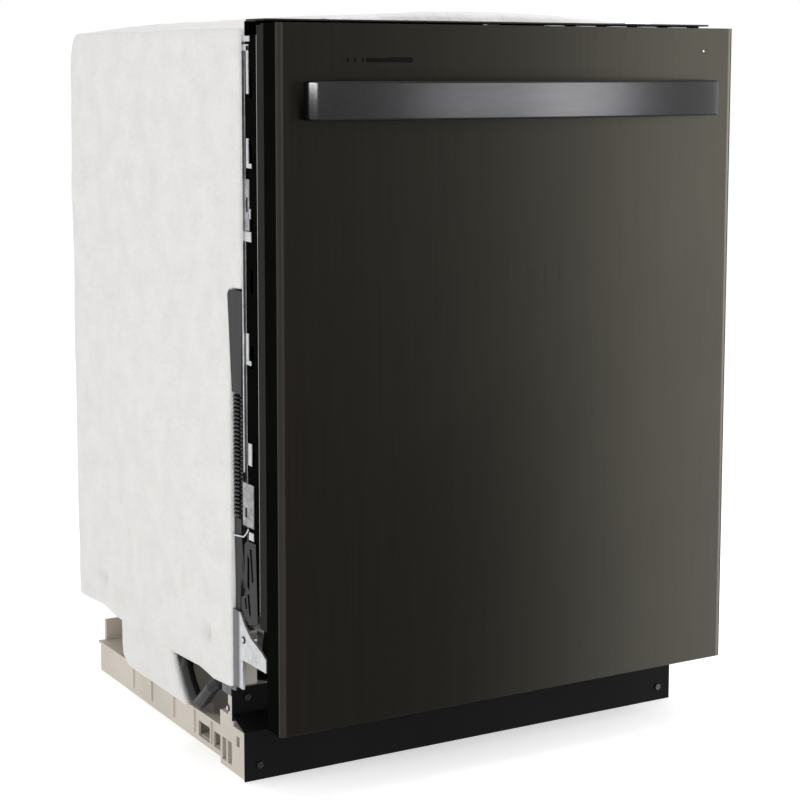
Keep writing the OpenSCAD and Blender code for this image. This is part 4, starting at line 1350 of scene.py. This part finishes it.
@dataclass
class Insulation(Assembly):
    """The felt blanket over the tub and the loose skirt below it."""

    pins: Sequence[tuple[float, float]] = ((519, 143), (196, 152))
    hem: Sequence[tuple[float, float]] = (
        (106, 2), (135, -4), (179, -8), (220, -4), (265, -6), (350, -11), (476, -9), (525, -3), (602, -9),
    )

    def build(self) -> None:
        """Builds both felt pieces."""
        FeltCover(self.shop, "insulation_blanket", 6.0, 1.6, 3.2, self.pins, self.hem).build()
        FeltCover(self.shop, "insulation_skirt", 3.6, 0.9, 1.6, tuck=6.0, seed=11).build()


# --------------------------------------------------------------------------------------------
# The sides' metalwork
# --------------------------------------------------------------------------------------------


def upright_box(near: float, far: float, foot: float, head: float) -> Outline:
    """The outline of a rectangular plate.

    Args:
        near: Its least depth.
        far: Its greatest depth.
        foot: Its least height.
        head: Its greatest height.

    Returns:
        Its four corners.
    """
    return ((near, foot), (far, foot), (far, head), (near, head))


def framed(outer: Sequence[float], hole: Sequence[float]) -> list[Outline]:
    """The four bars that frame a rectangular hole.

    Args:
        outer: The plate's near depth, far depth, foot and head in millimetres.
        hole: The hole's, in the same order.

    Returns:
        The bars' outlines.
    """
    near, far, foot, head = outer
    hole_near, hole_far, hole_foot, hole_head = hole
    return [
        upright_box(near, far, foot, hole_foot), upright_box(near, far, hole_head, head),
        upright_box(near, hole_near, hole_foot, hole_head), upright_box(hole_far, far, hole_foot, hole_head),
    ]


@dataclass(frozen=True)
class Layer:
    """Thin plates of one thickness and finish on a front post."""

    name: str
    outlines: Sequence[Outline]
    offset: float
    thickness: float
    edge: float
    slot: Slot
    finish: Finish


POST_LAYERS = (
    Layer("post_bars", [upright_box(*bar) for bar in (
        (73, 91, 832, 838), (76, 82, 776, 828), (76, 91, 822, 829), (77, 83, 700, 728),
        (70, 83, 696, 701), (80, 87, 485, 515), (74, 87, 480, 485), (72, 91, 616, 627),
        (73, 78, 641, 652), (74, 83, 368, 393), (71, 83, 284, 293),
    )], 0.0, 1.6, 0.5, Slot.GALVANISED, WHITE_STEEL),
    Layer("post_plates", [
        *framed((76, 88, 628, 684), (80, 84, 648, 664)), *framed((70, 98, 298, 347), (87, 92, 308, 319)),
    ], 0.0, 1.6, 0.4, Slot.GALVANISED, GREY_ZINC),
    Layer("hinge_cover", (
        ((62, 192), (84, 186), (104, 200), (104, 214), (95, 218), (95, 276), (88, 282), (66, 282)),
        ((101, 281), (106, 282), (98, 226), (92, 220)), ((98, 244), (104, 270), (108, 262), (103, 226)),
    ), 0.4, 1.0, 0.25, Slot.GREY_STRAP, DARK_PLATE),
    # Thin black plates in the slots: painted shade where the slots are open.
    Layer("hinge_slot_shade", (
        ((77, 274), (81, 274), (76, 236), (73, 238)), ((83, 262), (87, 266), (88, 230), (83, 226)),
        ((84, 222), (88, 220), (83, 196), (80, 200)), ((92, 216), (95, 214), (93, 202), (90, 204)),
    ), 1.3, 0.3, 0.1, Slot.BLACK_SHEET, BLACK_PAINT_AND_SHADE),
)
"""The plates on each front post, from the middle outwards."""


@dataclass
class SideFrame(Assembly):
    """The pressed front posts with their slots, the spring gear and the hinge brackets."""

    rounded: Rounded = (
        ("front_frame", 0.4, 2), ("hinge_brackets", 0.4, 2), ("spring_straps", 0.3, 2),
        ("spring_links", 0.5, 2), ("latch_strike", 0.3, 2),
    )
    coil_wire: float = 1.5
    coil_pitch: float = 4.6
    coil_gap: float = 2.0
    # Sizes of the black core inside each coil, which is painted shade.
    shade_core_inset: float = 3.0
    shade_core_gap: float = 2.4
    lower_hook: Sequence[Point] = ((0.5, 0, 3), (0, 0, -6), (0, -6, -10), (0, -4, -14))
    upper_hook: Sequence[Point] = ((0, 0, -3), (0, 0, 10), (0, 5, 14))
    face_inset: float = 3.2
    fixings: Sequence[tuple[str, Slot, float, float]] = (
        ("washers", Slot.SCREW_STEEL, 4.2, 0.8), ("rivets", Slot.GALVANISED, 2.5, 2.2),
    )
    bracket_fixing: tuple[float, float] = (97, 166)
    frame_fixing: tuple[float, float] = (145, 73)
    fixing_gap: float = 0.2
    fixing_sides: int = 18
    hook_gap: float = 1.4
    hook: Outline = ((127, 281), (117, 282), (104, 283.5), (96, 284.5), (88, 290.5), (83, 296))

    def build(self) -> None:
        """Builds the metalwork of both sides."""
        self.shop.soften(self.rounded)
        for side in Side:
            self.build_spring(side)
        for side in Side:
            self.build_fittings(side)

    def build_spring(self, side: Side) -> None:
        """Winds a balance spring round a black core, which is painted shade inside the coil, and bends its
        end hooks.

        Args:
            side: The side that it hangs on.
        """
        low, high = span("balance_springs")
        foot, head, depth = low[2], high[2], centre("balance_springs")[1]
        radius = (high[1] - low[1]) / 2
        x = side.value * (high[0] - radius)
        name = side.name.lower()
        obj = self.shop.wound(
            f"balance_spring_{name}", at(x, depth, foot + self.coil_gap), "chassis", Slot.SPRING_STEEL,
            radius, self.coil_wire, self.coil_pitch, head - foot - 2 * self.coil_gap,
        )
        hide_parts("balance_springs")
        # A black tube inside the coil: painted shade between the turns.
        shade_core = [at(x, depth, foot + self.shade_core_inset), at(x, depth, head - self.shade_core_inset)]
        self.shop.wires(f"spring_core_{name}", [shade_core], "chassis", Slot.BLACK_PLASTIC,
                        radius - self.shade_core_gap * self.coil_wire, 0.0, 16)
        hooks = [[at(x + side.value * out, depth + back, end + up) for out, back, up in hook]
                 for hook, end in ((self.lower_hook, foot), (self.upper_hook, head))]
        self.shop.wires(f"spring_hooks_{name}", hooks, "chassis", Slot.SPRING_STEEL, self.coil_wire, 3.0)

    def build_fittings(self, side: Side) -> None:
        """Sets the bars, plates, black slot plates as painted shade, hook and rivets on a front post.

        Args:
            side: The side that the post is on.
        """
        face = span("front_frame")[1][0] - self.face_inset
        name = side.name.lower()
        for layer in POST_LAYERS:
            bm = bmesh.new()
            for outline in layer.outlines:
                self.shop.plate(bm, outline, side.value * (face + layer.offset), layer.thickness, layer.edge)
            self.shop.piece(f"{layer.name}_{name}", self.shop.from_bmesh(bm, layer.name), "chassis",
                            layer.slot, layer.finish)
        hook = [at(side.value * (face + self.hook_gap), d, z) for d, z in self.hook]
        self.shop.wires(f"post_hook_{name}", [hook], "chassis", Slot.GALVANISED, 1.1, 2.5)
        turn = (0.0, math.pi / 2, 0.0)
        bracket = span("hinge_brackets")[1][0]
        spots = [at(side.value * (bracket + self.fixing_gap), *self.bracket_fixing),
                 at(side.value * (face + self.fixing_gap), *self.frame_fixing)]
        for kind, slot, radius, depth in self.fixings:
            self.shop.studded(f"bracket_{kind}_{name}", spots, "chassis", slot, radius, depth,
                              self.fixing_sides, turn)


# --------------------------------------------------------------------------------------------
# The base
# --------------------------------------------------------------------------------------------


@dataclass
class Base(Assembly):
    """The moulded base with its feet, kick panels, screws, pumps, valve and hoses."""

    rounded: Rounded = (
        ("base_pan", 0.9, 2), ("toe_panel", 0.35, 2), ("access_panel", 0.35, 2), ("panel_screws", 0.4, 2),
        ("junction_box", 0.5, 2), ("inlet_valve", 0.8, 2), ("drain_pump", 1.0, 2), ("wash_motor", 1.2, 2),
        ("sump", 1.0, 2), ("counter_brackets", 0.3, 2), ("top_strip", 0.5, 2), ("drain_line", 0.6, 2),
        ("front_foot_left", 0.8, 3), ("front_foot_right", 0.8, 3), ("rear_feet", 0.8, 3),
    )
    motor_rings: int = 9
    motor_cap: float = 34.0
    motor_pitch: float = 6.0
    motor_proud: float = 0.4
    motor_wire: float = 0.9
    drain_radius: float = 12.2
    drain_pitch: float = 7.0
    drain_ends: tuple[float, float] = (40, 44)
    drain_wire: float = 1.1

    def build(self) -> None:
        """Builds the base's pieces."""
        self.shop.soften(self.rounded)
        self.build_motor_fins()
        self.build_pipe_rings()

    def build_motor_fins(self) -> None:
        """Rings the motor's shell with its laminations."""
        low, high = span("wash_motor")
        depth, height = centre("wash_motor")[1:]
        radius = (high[2] - low[2]) / 2 + self.motor_proud
        start = low[0] + self.motor_cap
        rings = [ring((start + k * self.motor_pitch, depth, height), radius, 48, Axis.ACROSS)
                 for k in range(self.motor_rings)]
        self.shop.wires("motor_rings", rings, "chassis", Slot.MOTOR_STEEL, self.motor_wire, 0.0, 6, True)

    def build_pipe_rings(self) -> None:
        """Gives the drain line its corrugations, short of its ends."""
        low, high = span("drain_line")
        start, end = self.drain_ends
        x, _, height = centre("drain_line")
        rings = [ring((x, depth, height), self.drain_radius, 32, Axis.BACKWARDS)
                 for depth in np.arange(low[1] + start, high[1] - end, self.drain_pitch)]
        self.shop.wires("drain_rings", rings, "chassis", Slot.GREY_PLASTIC, self.drain_wire, 0.0, 6, True)


# --------------------------------------------------------------------------------------------
# The wash space
# --------------------------------------------------------------------------------------------


@dataclass
class WashSpace(Assembly):
    """The tub with its racks, spray gear and filter."""

    rounded: Rounded = (
        ("tub_gasket", 0.8, 2), ("rack_rails", 0.3, 2), ("feed_tube", 0.6, 2), ("fine_filter", 0.1, 2),
        ("filter_cup", 0.6, 2), ("float_switch", 1.5, 3), ("lower_spray_arm", 1.6, 3),
        ("upper_spray_arm", 1.4, 3), ("silverware_basket", 0.5, 1), ("lower_wheels_front", 0.8, 2),
        ("lower_wheels_rear", 0.8, 2), ("cup_shelf", 0.8, 2), ("lower_rack", 1.3, 2), ("upper_rack", 1.3, 2),
        ("third_rack", 1.3, 2), ("fold_down_tines", 1.3, 2),
    )
    ring_pitch: float = 5.0
    first_ring: int = 2
    cup_gap: float = 3.0
    rim: float = 5.0
    hole_pitch: float = 6.0
    hole_radius: float = 1.1
    hole_height: float = 0.12
    hole_proud: float = 0.05
    hole_sides: int = 8

    def build(self) -> None:
        """Builds the wash space's pieces."""
        self.shop.soften(self.rounded)
        self.build_filter_holes()

    def build_filter_holes(self) -> None:
        """Stands thin dark discs for the fine filter's perforations on its top face, in rings round the
        filter cup: painted shade in the holes.
        """
        low, high = span("fine_filter")
        cup_low, cup_high = span("filter_cup")
        middle, cup = centre("fine_filter"), centre("filter_cup")
        clear = (cup_high[0] - cup_low[0]) / 2 + self.cup_gap
        reach = (high[0] - low[0]) / 2 - self.rim
        points = []
        for step in range(self.first_ring, int(reach / self.ring_pitch)):
            radius = step * self.ring_pitch
            around = int(math.tau * radius / self.hole_pitch)
            for k in range(around):
                angle = math.tau * k / around
                x, d = middle[0] + radius * math.cos(angle), middle[1] + radius * math.sin(angle)
                if math.hypot(x - cup[0], d - cup[1]) > clear:
                    points.append(at(x, d, high[2] + self.hole_proud))
        # Thin dark discs: painted shade in the filter's holes.
        self.shop.studded("filter_hole_shade", points, "chassis", Slot.DARK_PLASTIC, self.hole_radius,
                          self.hole_height, self.hole_sides)


# --------------------------------------------------------------------------------------------
# The studio
# --------------------------------------------------------------------------------------------


@dataclass
class Studio:
    """A plain pale floor, soft lamps, the world and the camera."""

    camera_place: Point = (-1.2068, -2.1054, 0.8061)
    heading: float = 29.995
    pitch: float = 6.767
    roll: float = 0.093
    lens: float = 87.23
    shift: float = -0.13
    white: float = 1.0
    ambient: float = 0.72
    floor_half: float = 9.0
    floor_glow: float = 0.38
    lamp_circle: float = 2.64
    handle_height: float = 0.8

    def build(self) -> None:
        """Sets the whole studio."""
        self.build_floor()
        self.build_world()
        self.build_lamps()
        self.build_camera()
        bpy.context.scene.view_settings.view_transform = "Standard"

    def build_floor(self) -> None:
        """Lays the floor, pale and shadowed under the machine, and unseen by mirrors."""
        mesh = bpy.data.meshes.new("floor")
        half = self.floor_half
        corners = [(-half, -half, 0), (half, -half, 0), (half, half, 0), (-half, half, 0)]
        mesh.from_pydata(corners, [], [(0, 1, 2, 3)])
        obj = placed("floor", mesh)
        shader = Shader("pale_floor")
        clouds = shader.noise(scale=1.3, detail=2.0)
        paint = shader.surface(Metallic=0.0, Roughness=0.9, Specular_IOR_Level=0.1,
                               Base_Color=shader.ramp(clouds, (0.90, 0.90, 0.90), (0.94, 0.94, 0.94)))
        glow = shader.node("ShaderNodeEmission", {"Strength": self.floor_glow})
        both = shader.node("ShaderNodeAddShader", {0: paint, 1: glow.outputs["Emission"]})
        rays = shader.node("ShaderNodeLightPath")
        clear = shader.node("ShaderNodeBsdfTransparent")
        choice = shader.node("ShaderNodeMixShader", {
            "Fac": rays.outputs["Is Glossy Ray"], 1: both.outputs["Shader"], 2: clear.outputs["BSDF"],
        })
        mesh.materials.append(shader.finish(choice.outputs["Shader"]))

    def build_world(self) -> None:
        """Makes the world white to the camera and to mirrors, and softer as a lamp."""
        world = bpy.data.worlds.new("studio")
        bpy.context.scene.world = world
        world.use_nodes = True
        graph = Graph(world.node_tree)
        graph.tree.nodes.clear()
        rays = graph.node("ShaderNodeLightPath").outputs
        seen = rays["Is Camera Ray"]
        for name in ("Is Glossy Ray", "Is Transmission Ray"):
            either = graph.node("ShaderNodeMath", {0: seen, 1: rays[name]}, operation="MAXIMUM")
            seen = either.outputs["Value"]
        strength = graph.node("ShaderNodeMapRange",
                              {"Value": seen, "To Min": self.ambient, "To Max": self.white})
        back = graph.node("ShaderNodeBackground",
                          {"Color": (1.0, 1.0, 1.0, 1.0), "Strength": strength.outputs["Result"]})
        graph.node("ShaderNodeOutputWorld", {"Surface": back.outputs["Background"]})

    def lamp(self, name: str, place: Point, aim: Point, size: tuple[float, float],
             power: float) -> bpy.types.Object:
        """Adds a soft panel lamp.

        Args:
            name: The lamp's name.
            place: Where it stands, in metres.
            aim: What it points at.
            size: Its width and height in metres.
            power: Its power in watts.

        Returns:
            The lamp.
        """
        data = bpy.data.lights.new(name, "AREA")
        data.shape = "RECTANGLE"
        data.size, data.size_y = size
        data.energy = power
        obj = bpy.data.objects.new(name, data)
        obj.location = place
        obj.rotation_mode = "QUATERNION"
        obj.rotation_quaternion = (Vector(aim) - Vector(place)).to_track_quat("-Z", "Y")
        bpy.context.scene.collection.objects.link(obj)
        return obj

    def around(self, angle: float, height: float) -> Point:
        """A place on a circle round the door, for a lamp.

        Args:
            angle: Degrees to the right of straight ahead.
            height: The place's height in metres.

        Returns:
            The place.
        """
        turn = math.radians(angle)
        return (self.lamp_circle * math.sin(turn), DOOR_FACE - self.lamp_circle * math.cos(turn), height)

    def build_lamps(self) -> None:
        """Hangs the panel that the door mirrors, a top lamp and fill, and the handle's own panels."""
        door = self.lamp("right_panel", self.around(46.0, 0.2), aim=(0.0, DOOR_FACE, 0.2), size=(0.62, 4.6),
                         power=116.0)
        self.lamp("top_panel", (0.0, 0.1, 3.4), aim=(0.0, 0.1, 0.8), size=(2.0, 2.0), power=22.0)
        self.lamp("left_fill", (-2.6, -0.2, 1.5), aim=(-0.3, 0.0, 0.45), size=(1.6, 1.6), power=9.0)
        handle = (0.0, DOOR_FACE, self.handle_height)
        own = [
            self.lamp(name, self.around(angle, self.handle_height), handle, (width, 1.2), power)
            for name, angle, width, power in (
                ("handle_key", 39.5, 0.74, 42.0), ("handle_soft", 22.0, 0.70, 19.0),
                ("handle_rim", 74.0, 0.60, 12.0),
            )
        ]
        own.append(self.lamp("handle_end", (-0.47, -0.36, 0.87), aim=(-0.27, -0.30, 0.865), size=(0.6, 0.13),
                             power=11.0))
        bar = bpy.data.objects["handle_bowed"]
        self.share("bar_excluded", [door], bar, Linked.EXCLUDE)
        self.share("bar_only", own, bar, Linked.INCLUDE)

    def share(self, name: str, lamps: Sequence[bpy.types.Object], piece: bpy.types.Object,
              state: Linked) -> None:
        """Keeps lamps off one piece, or for that piece alone.

        Args:
            name: A name for the group of lit pieces.
            lamps: The lamps.
            piece: The piece.
            state: Whether the piece is left out or lit alone.
        """
        group = bpy.data.collections.new(name)
        group.objects.link(piece)
        group.collection_objects[0].light_linking.link_state = state.value
        for lamp in lamps:
            lamp.light_linking.receiver_collection = group

    def build_camera(self) -> None:
        """Places the camera level with the handle, looking from the front left."""
        data = bpy.data.cameras.new("camera")
        data.sensor_width = 36.0
        data.lens = self.lens
        data.shift_y = self.shift
        obj = bpy.data.objects.new("camera", data)
        turn = Matrix.Rotation(math.radians(-self.heading), 4, "Z")
        tilt = Matrix.Rotation(math.radians(90 - self.pitch), 4, "X")
        lean = Matrix.Rotation(math.radians(self.roll), 4, "Z")
        obj.matrix_world = Matrix.Translation(self.camera_place) @ turn @ tilt @ lean
        bpy.context.scene.collection.objects.link(obj)
        bpy.context.scene.camera = obj


def main() -> None:
    """Builds the dishwasher and its studio, reports each piece and notes the visual model's size."""
    logging.basicConfig(level=logging.INFO, format="%(name)s: %(message)s")
    shop = Workshop(Palette())
    shop.palette.dress_nodes()
    for part in (Door(shop), Insulation(shop), SideFrame(shop), Base(shop), WashSpace(shop)):
        part.build()
        LOG.info("built %s", type(part).__name__)
    for piece in shop.made:
        LOG.info("%s has %d faces", piece.name, len(piece.data.polygons))
    Studio().build()
    bpy.context.view_layer.update()


if __name__ == "__main__":
    main()
